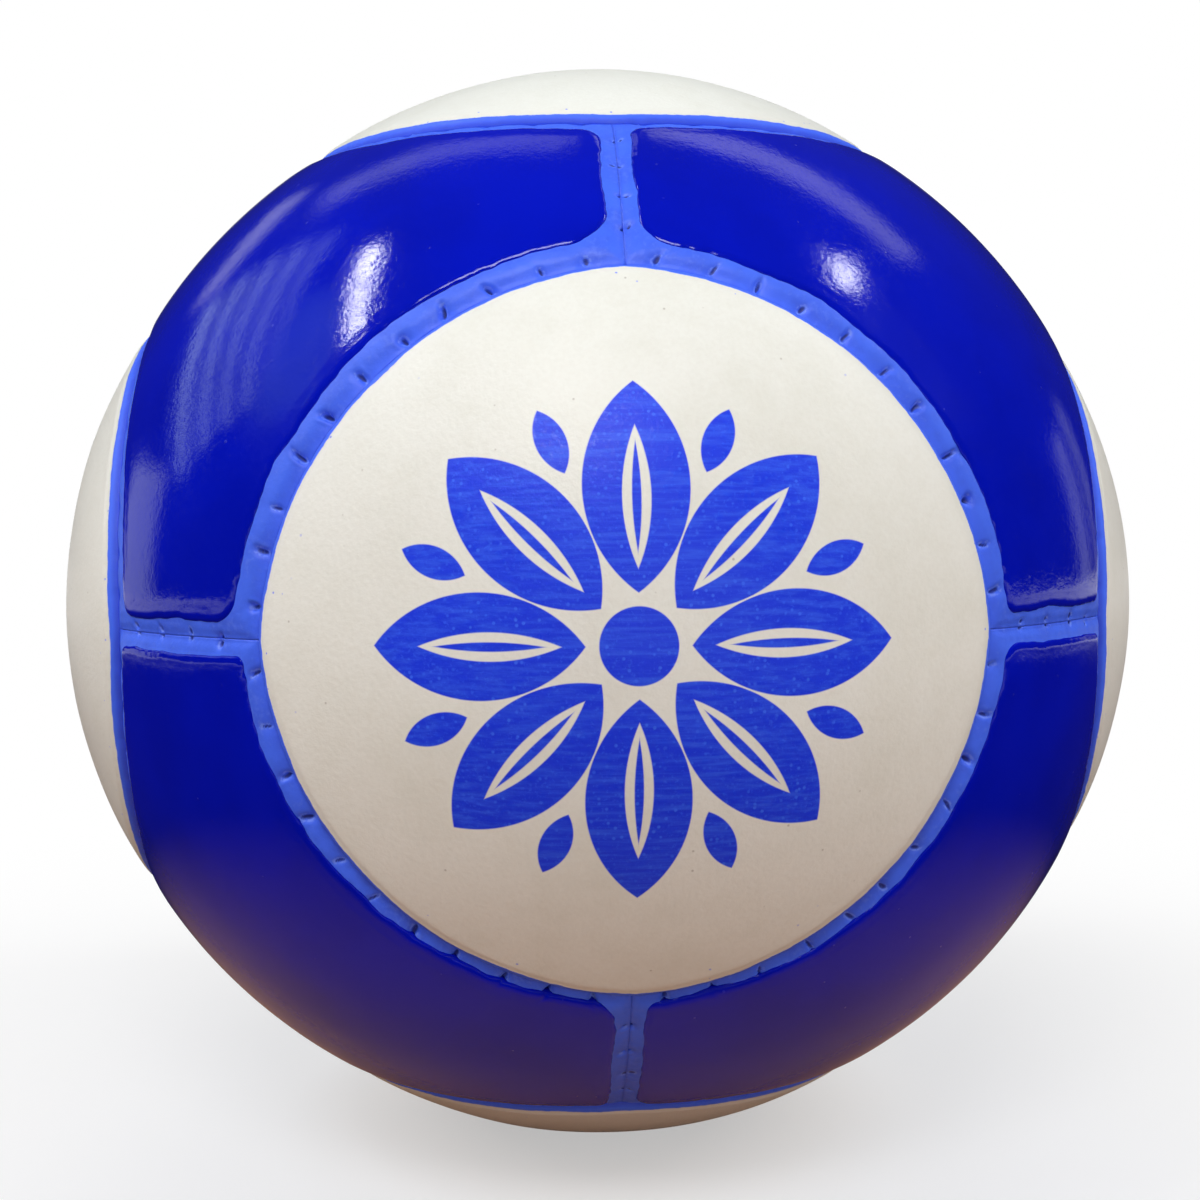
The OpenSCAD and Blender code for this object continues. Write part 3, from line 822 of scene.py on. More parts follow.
def white_leather(tones, name, lip_w, print_r=0.0):
    """Matt cream synthetic leather, darker towards its seams, blue on its rolled lip with painted shade
    where the lip meets the seam, and printed if asked.
    """
    look = new_finish(name)
    seam = look.fact("seam_mm")
    cloud = look.noise(0.035, 4.0, 0.6)
    rub = look.noise(0.16, 5.0, 0.65)
    fine = look.noise(1.6, 3.0, 0.6)
    handled = look.step(cloud * 0.6 + rub * 0.4, 0.42, 0.72, 0.0, 0.5)
    colour = look.mix(handled, tones.cream, tones.cream_shade)
    colour = look.mix(look.step(fine, 0.35, 0.70, 0.0, 0.10), colour, GRAIN_TONE)
    colour = look.mix(look.specks(0.42, 0.10, 0.03, 0.80, 0.82) * 0.5, colour, SPECK_TONE)
    # Darker towards the seam, over the last few millimetres of the cover
    seam_darkening = look.step(seam + rub * 2.0, 4.6, 1.4) * 0.20
    colour = look.mix(seam_darkening, colour, SEAM_DARK_TONE)
    height = look.cells(1.15, "SMOOTH_F1") * 0.5 + fine * 1.3
    if print_r:
        ink = rosette(look, print_r)
        streak = look.noise(1.0, 3.0, 0.6, look.stretched(0.10, 1.0, 1.5))
        grit = look.noise(2.2, 2.0, 0.7)
        inked = look.mix(look.step(streak, 0.38, 0.72, 0.0, 0.55), tones.print_blue, tones.print_light)
        inked = look.mix(look.step(grit, 0.55, 0.72) * 0.4, inked, tones.print_light)
        bare = look.step(look.noise(0.12), 0.30, 0.62, 0.35, 0.95)
        fleck = look.specks(1.1, 0.34, 0.12, 0.15, 0.75) * bare
        inked = look.mix(fleck, inked, tones.print_light)
        colour = look.mix(ink, colour, inked)
        height = height + ink * 0.12
    slow, quick = 1.1, 0.45
    drift = look.noise(0.09, 2.0) * slow + look.noise(0.6, 3.0, 0.6) * quick
    mean_drift = (slow + quick) / 2
    edge = lip_w / MM + mean_drift
    lip = look.step(seam + drift, edge + 0.10, edge - 0.06)
    spill = look.specks(0.8, 0.17, 0.10, 0.90, 0.92) * look.step(seam, 7.0, 2.0)
    # Painted shade: the blue lip turns darker within a millimetre of the seam, down in the valley
    blue = look.mix(look.step(seam, 0.1, 0.9), tones.band_dark_and_shade, tones.band_blue)
    colour = look.mix(lip.math("MAXIMUM", spill * 0.7), colour, blue)
    glint = look.step(fine, 0.50, 0.64)
    roughness = 0.38 + rub * 0.14 + lip * 0.10 - glint * 0.13
    return look.done(colour, roughness, look.bump(height, 0.06, 0.6), Specular_IOR_Level=0.45)


def blue_leather(tones):
    """Matt light blue synthetic leather, with painted shade in the valley by each seam and deep in its
    stitch pits, and lighter rims round the pits.
    """
    look = new_finish("band_leather")
    seam, pit = look.fact("seam_mm"), look.fact("pit")
    cloud = look.noise(0.22, 4.0, 0.6)
    fine = look.noise(1.4, 3.0, 0.6)
    colour = look.mix(look.step(cloud, 0.35, 0.7, 0.0, 0.45), tones.band_blue, tones.band_dark_and_shade)
    # Painted shade: darker blue in the valley, within a millimetre of the seam
    colour = look.mix(look.step(seam + fine * 0.4, 0.75, 0.15, 0.0, 0.5), colour, tones.band_dark_and_shade)
    # Painted shade: dark navy deep in each stitch pit
    colour = look.mix(look.step(pit + fine * 0.3, 0.55, 1.0, 0.0, 0.9), colour, tones.pit_shade_blue)
    # Lighter blue on the rims of the stitch pits
    pit_rim = look.step(pit, 0.10, 0.30) * look.step(pit, 0.62, 0.40) * look.step(fine, 0.40, 0.60)
    colour = look.mix(pit_rim * 0.45, colour, PIT_RIM_TONE)
    scuff = look.step(fine * 0.6 + cloud * 0.5, 0.58, 0.72) * 0.2
    colour = look.mix(scuff, colour, SCUFF_TONE)
    height = look.cells(1.0, "SMOOTH_F1") * 0.4 + fine * 0.8
    return look.done(colour, 0.36 + cloud * 0.14, look.bump(height, 0.10, 0.6), Specular_IOR_Level=0.5)


def gloss_coat(tones):
    """Glossy dark blue film with a faint orange peel, dust, smears and hairlines."""
    look = new_finish("gloss_coat")
    cloud = look.noise(0.045, 3.0, 0.55)
    colour = look.mix(look.step(cloud, 0.35, 0.70, 0.0, 0.6), tones.gloss_blue, tones.gloss_shade)
    peel = look.noise(0.5, 2.0, 0.5)
    grit = look.noise(1.4, 3.0, 0.6)
    smear = look.noise(0.12, 4.0, 0.65, look.stretched(1.0, 0.45, 0.7))
    hair = look.noise(1.0, 1.0, 0.4, look.stretched(0.03, 1.3, 1.3, (0.4, 0.8, 0.5)))
    hair = look.step(hair, 0.70, 0.74) * look.step(look.noise(0.05, 2.0), 0.50, 0.60)
    dust = look.specks(0.33, 0.10, 0.05, 0.60, 0.62)
    roughness = 0.055 + look.step(smear, 0.45, 0.75) * 0.06 + hair * 0.12 + dust * 0.2
    roughness = roughness + look.step(grit, 0.42, 0.66) * 0.06
    height = peel + grit * 1.3 + dust * 0.9 - hair * 0.1
    return look.done(colour, roughness, look.bump(height, 0.04, 0.4), IOR=1.48)


def cloth(tones, name):
    """Plain woven cotton."""
    look = new_finish(name)
    x, y, z = look.parts(look.place)
    warp = ((x + z * 0.5) * 5.6).math("SINE")
    weft = ((y - z * 0.5) * 5.6).math("SINE")
    weave = warp * weft
    cloud = look.noise(0.1, 4.0)
    colour = look.mix(look.step(weave, -0.6, 0.8, 0.0, 0.5), tones.cloth, WEAVE_TONE)
    colour = look.mix(look.step(cloud, 0.4, 0.7) * 0.3, colour, STAIN_TONE)
    return look.done(colour, 0.82 + cloud * 0.1, look.bump(weave + cloud, 0.15, 0.6))


def twisted_thread(tones):
    """Waxed thread with fine fibres."""
    look = new_finish("laced_thread")
    fibre = look.noise(6.0, 3.0, 0.6)
    colour = look.mix(look.step(fibre, 0.35, 0.7), tones.thread_blue, tones.band_dark_and_shade)
    return look.done(colour, 0.5 + fibre * 0.2, look.bump(fibre, 0.04, 0.6))


def rubber(name, base, bloom):
    """Moulded rubber with a chalky bloom."""
    look = new_finish(name)
    chalk = look.noise(0.3, 5.0, 0.65)
    fine = look.noise(3.0, 2.0)
    colour = look.mix(look.step(chalk, 0.45, 0.75) * bloom, base, BLOOM_TONE)
    return look.done(colour, 0.5 + chalk * 0.25, look.bump(chalk + fine * 0.4, 0.05, 0.5))


# The pieces


def as_set():
    """The sizes and colours as the user has set them, and the plan that they give."""
    scene = bpy.context.scene
    return scene.ball_sizes, scene.ball_colours, BallPlan(scene.ball_sizes)


def finish_piece(piece, material, node):
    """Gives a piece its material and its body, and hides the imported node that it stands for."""
    piece.data.materials.append(material)
    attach(piece, BODY)
    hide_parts(node)


def white_panel(plan, face):
    """A round panel: its four edges, with the panel on their near side."""
    seams = [(seam, -1) for seam in plan.edges[face]]
    lip = plan.sizes.white_lip_w, plan.sizes.valley_depth
    return Panel(plan, FACES[face][2], seams, plan.white_dome, 0.0, {False: lip})


def blue_panel(plan, corner):
    """A three-armed panel: its three edges and three short seams."""
    sizes = plan.sizes
    signs = np.array(CORNERS[corner], float)
    seams = []
    for face_edges in plan.edges.values():
        seams += [(seam, 1) for seam in face_edges if ((seam.middle * signs) > 0.1).all()]
    for short_seams in plan.shorts.values():
        for seam in short_seams:
            flat = np.abs(seam.middle) > 0.1
            if ((seam.middle * signs)[flat] > 0).all():
                seams.append((seam, -float(seam.axis @ signs)))
    return Panel(plan, signs, seams, plan.blue_dome, plan.coat_stack,
                 {False: (sizes.blue_lip_w, sizes.valley_depth),
                  True: (sizes.pair_lip_w, sizes.valley_depth - plan.coat_stack)})


def panel_narrow(panel, inset):
    """Least angle from a panel's middle to its outline."""
    swing = np.linspace(0, 2 * math.pi, 720, endpoint=False)
    return float(panel.reach(swing, lambda u: panel.inside(u, inset, inset)).min())


def cover_rings(panel, count, narrow, dents, dent_mm, hole_r=0.0):
    """Rings of a cover: over the face, down the turned-in edge and back inside it, each
    with how far inside the outline and how far into a pit it is. narrow is how far the
    outline is from the middle at the least, and dents are waves of a height."""
    plan = panel.plan
    sizes = plan.sizes
    swing, lean = panel.outline(count, lambda u: panel.inside(u, plan.touch, plan.pair_touch))
    inner = panel.reach(swing, lambda u: panel.inside(u, plan.edge_in, plan.edge_in))
    first = inner_hole(lean, hole_r, sizes.ball_r) if hole_r else np.zeros(count)
    rings = []

    def add(u, level, n, pit):
        rings.append(((u * level[:, None])[::n], (panel.inside(u) / MM)[::n], pit[::n]))

    def over(reach, share):
        """Directions at a share of the way from the middle, or its hole, to an outline."""
        return panel.ray(swing, reach * (first + (1 - first) * share))

    for step in reversed(growing(0.15 * MM, 1.06, 2.0 * MM, narrow)):
        u = over(lean, 1 - step / narrow)
        level, pit = panel.skin(u)
        fade = np.clip(panel.inside(u) / (3 * MM), 0, 1)
        dented = level + dents(u * plan.edge_r) * dent_mm * MM * fade
        add(u, dented, thinned(step, 6 * MM, 12 * MM), pit)
    rim = panel.ray(swing, lean)
    top, pit = panel.skin(rim)
    for share in EDGE_SHARES:
        add(rim, top + (plan.floor_r - top) * share, 1 if share < 0.3 else 2, pit)
    low = panel.ray(swing, inner)
    roof = panel.on_dome(low, panel.drop + sizes.cover_t)
    none = np.zeros(count)
    add(low, np.full(count, plan.floor_r), 2, none)
    add(low, (roof + plan.floor_r) / 2, 4, none)
    for share in ROOF_SHARES + ((0.0,) if hole_r else ()):
        u = over(inner, share)
        add(u, panel.on_dome(u, panel.drop + sizes.cover_t), 4, none)
    return rings


def pad_rings(panel, hole_r=0.0):
    """Rings of the padding: it fills a cover down to the bladder, with a softened rim."""
    plan = panel.plan
    sizes = plan.sizes
    swing, lean = panel.outline(PAD_COUNT, lambda u: panel.inside(u, plan.run_in, plan.run_in))
    first = inner_hole(lean, hole_r, plan.floor_r) if hole_r else np.zeros(PAD_COUNT)
    shares = (0.0,) + PAD_SHARES[1:] if hole_r else PAD_SHARES
    rim_soft = 0.3 * MM
    upper, lower = [], []
    for share in shares:
        u = panel.ray(swing, lean * (first + (1 - first) * share))
        level = panel.on_dome(u, panel.drop + sizes.cover_t + sizes.lay_gap)
        soft = rim_soft * max(share - 0.9, 0) * 10
        upper.append((u * (level - soft)[:, None],))
        lower.append((u * plan.floor_r,))
    return upper + lower[::-1]


def coat_rings(panel, count, spreads, rounding, wander, swell):
    """Rings of a gloss coat: its face, its rounded edge and its underside. wander holds
    the slow and the quick waves of its edge, and swell those of its face."""
    plan = panel.plan
    sizes = plan.sizes
    spread, more = spreads
    narrow = plan.edge_r * panel_narrow(panel, plan.half_gap + sizes.blue_lip_w * (1 - spread))
    pair_inset = plan.half_gap + sizes.pair_lip_w
    sunk, sunk_under = 0.04 * MM, 0.05 * MM
    round_w, roll_h, roll_w = 0.5 * MM, 0.26 * MM, 1.2 * MM
    bead_h, bead_in, bead_w = 0.04 * MM, 0.9 * MM, 0.5 * MM

    def inside(u):
        slow, quick = (waves(u * plan.edge_r) for waves in wander)
        by_middle = np.exp(-(u[..., 0] / MIDDLE_REACH) ** 4)
        edge_inset = plan.half_gap + sizes.blue_lip_w * (1 - spread - more * by_middle)
        return (panel.inside(u, edge_inset, pair_inset, rounding(u))
                + slow * COAT_WANDER + quick * COAT_WAVER)

    swing, lean = panel.outline(count, inside)
    rings = []

    def add(u, level, n):
        rings.append(((u * level[:, None])[::n],))

    for step in reversed(growing(0.07 * MM, 1.09, 1.6 * MM, narrow)):
        u = panel.ray(swing, lean * (1 - step / narrow))
        deep = np.clip(inside(u), 0, None)
        rise = np.sqrt(1 - (1 - np.clip(deep / round_w, 0, 1)) ** 2)
        skin = panel.skin(u, COAT_DRAWN_IN)[0]
        under = np.minimum(panel.on_dome(u, plan.coat_stack), skin) - sunk
        roll = roll_h * np.exp(-deep / roll_w)
        bead = bead_h * np.exp(-((deep - bead_in) / bead_w) ** 2)
        top = soft_least(panel.on_dome(u, 0), skin + plan.coat_stack, 0.2 * MM) - roll + bead
        top += swell(u * plan.edge_r) * COAT_SWELL * MM * np.clip(deep / (4 * MM), 0, 1)
        add(u, under + (top - under) * rise, thinned(step, 3 * MM, 8 * MM))
    for share in UNDER_SHARES:
        u = panel.ray(swing, lean * share)
        under = np.minimum(panel.on_dome(u, plan.coat_stack), panel.skin(u)[0]) - sunk_under
        add(u, under, 1 if share > 0.98 else 2 if share > 0.9 else 4)
    return rings


class HANDBALL_OT_white_covers(bpy.types.Operator):
    """Six round cream covers with rolled lips and turned-in edges, the front one printed"""

    bl_idname = "handball.white_covers"
    bl_label = "White covers"

    def execute(self, context):
        sizes, colours, plan = as_set()
        bare = white_leather(colours, "cream_leather", sizes.lip_paint_w)
        printed = white_leather(colours, "cream_leather_printed", sizes.lip_paint_w, sizes.print_r)
        narrow = plan.edge_r * (plan.edge_turn - plan.tilt) - plan.half_gap
        for n, face in enumerate(FACES):
            hole = sizes.nozzle_r + sizes.valve_clear if face == VALVE_FACE else 0.0
            dents = Waves(SEEDS["white_dents"] + n, 14 * MM, 45 * MM)
            panel = white_panel(plan, face)
            rings = cover_rings(panel, WHITE_COUNT, narrow, dents, WHITE_DENT, hole)
            piece = ring_mesh(f"cream_skin_{face}", rings, ("seam_mm",), caps=not hole)
            leather = printed if face == PRINTED_FACE else bare
            finish_piece(piece, leather, f"white_cover_{face}")
        return {"FINISHED"}


class HANDBALL_OT_blue_covers(bpy.types.Operator):
    """Eight three-armed light blue covers with rolled lips and stitch pits"""

    bl_idname = "handball.blue_covers"
    bl_label = "Blue covers"

    def execute(self, context):
        _, colours, plan = as_set()
        leather = blue_leather(colours)
        for n, corner in enumerate(CORNERS):
            dents = Waves(SEEDS["blue_dents"] + n, 6 * MM, 20 * MM)
            panel = blue_panel(plan, corner)
            narrow = plan.edge_r * panel_narrow(panel, plan.half_gap)
            rings = cover_rings(panel, BLUE_COUNT, narrow, dents, BLUE_DENT)
            piece = ring_mesh(f"blue_skin_{corner}", rings, ("seam_mm", "pit"))
            finish_piece(piece, leather, f"blue_cover_{corner}")
        return {"FINISHED"}


class HANDBALL_OT_gloss_coats(bpy.types.Operator):
    """Eight glossy dark blue coats with rounded corners and a rounded rim"""

    bl_idname = "handball.gloss_coats"
    bl_label = "Gloss coats"

    def execute(self, context):
        _, colours, plan = as_set()
        coat = gloss_coat(colours)
        for n, corner in enumerate(CORNERS):
            wander = (Waves(SEEDS["coat_wander"] + n, 5 * MM, 22 * MM),
                      Waves(SEEDS["coat_waver"] + n, 1.2 * MM, 4 * MM))
            rounding = corner_rounding(plan, corner, SEEDS["coat_corners"] + n)
            swell = Waves(SEEDS["coat_swell"] + n, 7 * MM, 26 * MM)
            drawn = np.random.default_rng(SEEDS["coat_spread"] + n).uniform(0, 0.35)
            spreads = COAT_SPREADS.get(corner, (drawn, 0.0))
            rings = coat_rings(blue_panel(plan, corner), COAT_COUNT, spreads, rounding, wander, swell)
            piece = ring_mesh(f"gloss_coat_{corner}", rings)
            finish_piece(piece, coat, f"gloss_film_{corner}")
        return {"FINISHED"}


class HANDBALL_OT_padding(bpy.types.Operator):
    """Padded cloth linings inside the fourteen covers"""

    bl_idname = "handball.padding"
    bl_label = "Padding"

    def execute(self, context):
        sizes, colours, plan = as_set()
        woven = cloth(colours, "padding_cloth")
        for face in FACES:
            hole = sizes.neck_r + sizes.valve_clear if face == VALVE_FACE else 0.0
            rings = pad_rings(white_panel(plan, face), hole)
            self.pad(f"cream_pad_{face}", rings, woven, f"white_lining_{face}", caps=not hole)
        for corner in CORNERS:
            rings = pad_rings(blue_panel(plan, corner))
            self.pad(f"blue_pad_{corner}", rings, woven, f"blue_lining_{corner}", caps=True)
        return {"FINISHED"}

    def pad(self, name, rings, woven, node, caps):
        piece = ring_mesh(name, rings, caps=caps)
        finish_piece(piece, woven, node)


def strand(centre, frame_u, frame_v, offset, twist, strand_r):
    """Rings of one ply that winds about a line of points, by a twist at each."""
    rings = []
    around = np.linspace(0, 2 * math.pi, PLY_SIDES, endpoint=False)
    for n in range(len(centre)):
        swing = twist * n
        u, v = frame_u[n], frame_v[n]
        at = centre[n] + offset * (math.cos(swing) * u + math.sin(swing) * v)
        rings.append(at + strand_r[n] * (np.cos(around)[:, None] * u + np.sin(around)[:, None] * v))
    return rings


def lace(name, paths):
    """One mesh of two-ply threads along paths of points, each with its own side frame."""
    points, faces = [], []
    total = 0
    for centre, frame_u, frame_v, thick, twist_l in paths:
        gap = np.linalg.norm(centre[1] - centre[0])
        end = np.minimum(np.arange(len(centre)), np.arange(len(centre))[::-1])
        taper = np.clip((end + 0.6) / 2, 0.3, 1)
        for half in (0.0, math.pi):
            turned_u = math.cos(half) * frame_u + math.sin(half) * frame_v
            turned_v = -math.sin(half) * frame_u + math.cos(half) * frame_v
            rings = strand(centre, turned_u, turned_v, thick * PLY_OFF,
                           2 * math.pi * gap / twist_l, thick * PLY_R * taper)
            sides = PLY_SIDES
            points.append(np.concatenate(rings))
            for n in range(len(rings) - 1):
                faces += band(sides, sides, total + n * sides, total + (n + 1) * sides)
            last = total + (len(rings) - 1) * sides
            faces += [np.arange(total, total + sides)[None, ::-1], np.arange(last, last + sides)[None]]
            total += len(rings) * sides
    return solid(name, np.concatenate(points), faces, {})


def seam_threads(plan, seam):
    """The doubled threads along both edges of a seam, and the crossings between them."""
    sizes = plan.sizes
    step, run_twist, crossing_twist, crossing_points = 0.6 * MM, 3.4 * MM, 2.6 * MM, 14
    paths = []
    half = (seam.stitches - 1) / 2 * seam.pitch_turn
    half += sizes.run_d / (plan.run_r * math.sin(seam.turn))
    count = max(8, int(2 * half * plan.run_r * math.sin(seam.turn) / step))
    swings = np.linspace(-half, half, count)
    flat = np.cos(swings)[:, None] * seam.along_0 + np.sin(swings)[:, None] * seam.along_1
    out = math.cos(seam.turn) * seam.axis + math.sin(seam.turn) * flat
    across = math.cos(seam.turn) * flat - math.sin(seam.turn) * seam.axis
    for side in (-1, 1):
        centre = out * plan.run_r + side * across * plan.run_off
        paths.append((centre, out, across, sizes.run_d, run_twist))
    for i in range(seam.stitches):
        up, over, beside = seam.stitch_place(i)
        way = np.linspace(-plan.run_off, plan.run_off, crossing_points)
        centre = up * plan.run_r + way[:, None] * over
        frame_u, frame_v = (np.repeat(v[None], crossing_points, 0) for v in (up, beside))
        paths.append((centre, frame_u, frame_v, sizes.thread_d, crossing_twist))
    return paths


class HANDBALL_OT_lacing(bpy.types.Operator):
    """Two-ply thread that laces the turned-in edges of every seam"""

    bl_idname = "handball.lacing"
    bl_label = "Lacing"

    def execute(self, context):
        _, colours, plan = as_set()
        thread = twisted_thread(colours)
        for kind, groups in (("ring", plan.edges), ("short", plan.shorts)):
            for key, seams in groups.items():
                paths = [path for seam in seams for path in seam_threads(plan, seam)]
                piece = lace(f"{kind}_lace_{key}", paths)
                finish_piece(piece, thread, f"{kind}_thread_{key}")
        return {"FINISHED"}


def lathe(name, outline, count=96, caps=False):
    """A turned piece about the valve's axis. outline holds (radius, height) points, the
    height along the axis. caps closes both ends on the axis."""
    right, up, out = (np.array(v, float) for v in FACES[VALVE_FACE])
    swing = np.linspace(0, 2 * math.pi, count, endpoint=False)
    side = np.cos(swing)[:, None] * right + np.sin(swing)[:, None] * up
    return ring_mesh(name, [(side * r + out * h,) for r, h in outline], caps=caps)


def rounded(outline, radius):
    """An outline with its corners rounded. Its points are (r, h, share of the radius)."""
    made = []
    count, steps = len(outline), 4
    for n, (r, h, share) in enumerate(outline):
        here = np.array((r, h))
        if not share:
            made.append((r, h))
            continue
        before, after = np.array(outline[n - 1][:2]), np.array(outline[(n + 1) % count][:2])
        short = min(radius * share, np.linalg.norm(before - here) / 2, np.linalg.norm(after - here) / 2)
        a, b = here + unit(before - here) * short, here + unit(after - here) * short
        for k in range(steps + 1):
            t = k / steps
            made.append(tuple((1 - t) ** 2 * a + 2 * t * (1 - t) * here + t * t * b))
    return made


class HANDBALL_OT_bladder(bpy.types.Operator):
    """Air bladder with its valve hole, and the cloth patch around the neck"""

    bl_idname = "handball.bladder"
    bl_label = "Bladder"

    def execute(self, context):
        sizes, colours, plan = as_set()
        hole_r = sizes.neck_r + sizes.valve_clear
        pole_lean = 0.02
        leans = np.linspace(math.asin(hole_r / plan.bladder_r), math.pi - pole_lean, 90)
        outer, inner = plan.bladder_r, plan.bladder_r - sizes.bladder_t
        outline = [(inner * math.sin(a), inner * math.cos(a)) for a in leans[::-1]]
        outline += [(outer * math.sin(a), outer * math.cos(a)) for a in leans]
        piece = lathe("air_bladder", outline, 192, caps=True)
        skin = rubber("bladder_rubber", colours.rubber, 0.6)
        finish_piece(piece, skin, "bladder")
        edge = hole_r + (sizes.patch_r - hole_r) * np.linspace(0, 1, 16)
        low, high = plan.floor_r, plan.floor_r + sizes.patch_t
        worn = np.zeros(len(edge))
        worn[[0, -1]] = 0.12 * MM
        outline = [(r, math.sqrt(low * low - r * r)) for r in edge]
        outline += [(r, math.sqrt(high * high - r * r) - less)
                    for r, less in reversed(list(zip(edge, worn)))]
        piece = lathe("neck_cloth", outline)
        finish_piece(piece, cloth(colours, "patch_cloth"), "valve_patch")
        return {"FINISHED"}


class HANDBALL_OT_valve(bpy.types.Operator):
    """Moulded needle valve and its soft plug, with rounded rims"""

    bl_idname = "handball.valve"
    bl_label = "Valve"

    def execute(self, context):
        sizes, colours, plan = as_set()
        clear = sizes.valve_clear
        low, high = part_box("valve_housing")
        plug_low, plug_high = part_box("valve_plug")
        flange_r = (high.x - low.x) / 2
        plug_r = (plug_high.x - plug_low.x) / 2
        top, end = high.y, low.y
        under_bladder = (plan.bladder_r - sizes.bladder_t - sizes.lay_gap) ** 2
        flange_top = math.sqrt(under_bladder - sizes.neck_r ** 2)
        flange_rim = math.sqrt(under_bladder - flange_r ** 2)
        flange_t, barrel_r = 1.4 * MM, 5.5 * MM
        neck_top = sizes.ball_r - sizes.cover_t - clear
        tip_r, mouth_l = 1.7 * MM, 4.4 * MM
        outline = [
            (plug_r + clear, plug_low.y, 0.4), (plug_r + clear, top - mouth_l, 0.5),
            (tip_r + clear, top - mouth_l, 0.5), (tip_r + clear, top, 0.9),
            (sizes.nozzle_r, top, 1), (sizes.nozzle_r, neck_top, 0.4),
            (sizes.neck_r, neck_top, 0.8), (sizes.neck_r, flange_top, 0.6),
            (flange_r, flange_rim, 0.6), (flange_r, flange_rim - flange_t, 0.6),
            (barrel_r, flange_top - flange_t, 0.8), (barrel_r, end, 1), (AXIS_R, end, 0),
            (AXIS_R, plug_low.y, 0),
        ]
        piece = lathe("valve_body", rounded(outline, 0.5 * MM))
        finish_piece(piece, rubber("valve_rubber", colours.rubber, 0.35),
                     "valve_housing")
        needle_r, needle_l = 1.0 * MM, 11 * MM
        plug_neck = top - mouth_l - clear
        outline = [
            (AXIS_R, plug_low.y + clear / 2, 0), (plug_r, plug_low.y + clear / 2, 0.8),
            (plug_r, plug_neck, 0.8), (tip_r, plug_neck, 0.4), (tip_r, plug_high.y, 0.8),
            (needle_r, plug_high.y, 0.9), (needle_r * 0.9, top - needle_l, 0.5),
            (AXIS_R, top - needle_l, 0),
        ]
        piece = lathe("needle_plug", rounded(outline, 0.45 * MM))
        finish_piece(piece, rubber("plug_rubber", colours.plug_rubber, 0.3),
                     "valve_plug")
        return {"FINISHED"}


# The studio


def soft_light(name, place, size, level, up, mirrored):
    """A rectangular soft light that faces the middle of the ball."""
    data = bpy.data.lights.new(name, "AREA")
    data.shape = "RECTANGLE"
    data.size, data.size_y = size
    data.energy = level
    lamp = bpy.data.objects.new(name, data)
    lamp.matrix_world = facing(place, place, up)
    lamp.visible_glossy = mirrored
    bpy.context.scene.collection.objects.link(lamp)


def facing(place, back, up):
    """A matrix that looks away from back, with up upwards."""
    back = unit(back)
    right = unit(np.cross(up, back))
    over = np.cross(back, right)
    rows = [[right[n], over[n], back[n], place[n]] for n in range(3)] + [[0, 0, 0, 1]]
    return Matrix(rows)


# Lamps: place, width and height, the level that sets it and a share of that, the way up
# and whether the coats mirror it.
UP = (0, 0, 1)
LAMPS = {
    "key": ((-0.11, -0.65, 0.61), (0.40, 0.22), "key_power", 1.0, UP, True),
    "side_left": ((-0.75, -0.25, 0.62), (0.5, 0.5), "side_power", 1.0, UP, False),
    "side_right": ((0.75, -0.25, 0.62), (0.5, 0.5), "side_power", 1.05, UP, False),
    "back": ((0.15, 0.85, 0.42), (0.5, 0.5), "back_power", 1.0, UP, False),
    "fill": ((0.15, -0.85, 0.02), (0.6, 0.4), "fill_power", 1.0, UP, False),
    "tube": ((-0.431, -0.075, 0.573), (0.034, 0.28), "tube_power", 1.2,
             (0.103, 0.261, 0.114), True),
    "spot": ((0.431, -0.05, 0.574), (0.05, 0.10), "tube_power", 0.45,
             (-0.016, 0.149, 0.026), True),
}
# Soft panels of light that only reflections show: direction, the way of the long side,
# half length, half width, softness, level, colour and the number of stripes.
REFLECTED_PANELS = (
    ((0.40, 0.44, 0.80), (0.49, -0.16, -0.17), 0.27, 0.030, 0.06, 1.0, (0.92, 0.90, 1.0), 0),
    ((-0.24, 0.50, 0.83), (0.45, -0.18, 0.26), 0.23, 0.025, 0.07, 0.65, (0.90, 0.90, 1.0), 0),
    ((-0.50, 0.70, 0.51), (-0.18, -0.08, -0.08), 0.10, 0.025, 0.05, 0.8, (0.92, 0.92, 1.0), 0),
    ((-0.78, 0.32, 0.54), (-0.62, -0.68, -0.39), 0.23, 0.19, 0.06, 1.5, (0.72, 0.88, 1.0), 4),
    ((-0.75, -0.03, 0.65), (-0.62, -0.50, -0.60), 0.12, 0.05, 0.14, 0.6, (0.40, 0.72, 1.0), 0),
    ((-0.88, 0.44, 0.09), (0.1, 0.1, 1.0), 0.13, 0.10, 0.05, 0.9, (0.95, 1.0, 0.95), 0),
    ((0.86, 0.50, 0.08), (0.05, -0.05, 1.0), 0.15, 0.03, 0.04, 0.5, (0.90, 0.92, 1.0), 0),
    ((0.78, 0.62, 0.10), (0.05, -0.05, 1.0), 0.15, 0.02, 0.03, 0.35, (0.90, 0.92, 1.0), 0),
)
# Direction of the camera from the ball, the way up of its view, and its shift.
CAMERA_WAY, CAMERA_UP = (-0.0555, -0.9966, 0.0613), (0.0135, 0.0607, 0.998)
CAMERA_SHIFT = (0.0015, 0.0016)
# Colours that the room and the far floor have for the coats alone.
DARK_FLOOR, DARK_ROOM, DIM_CEILING = (0.02, 0.015, 0.02), (0.02, 0.02, 0.035), (0.05, 0.055, 0.09)


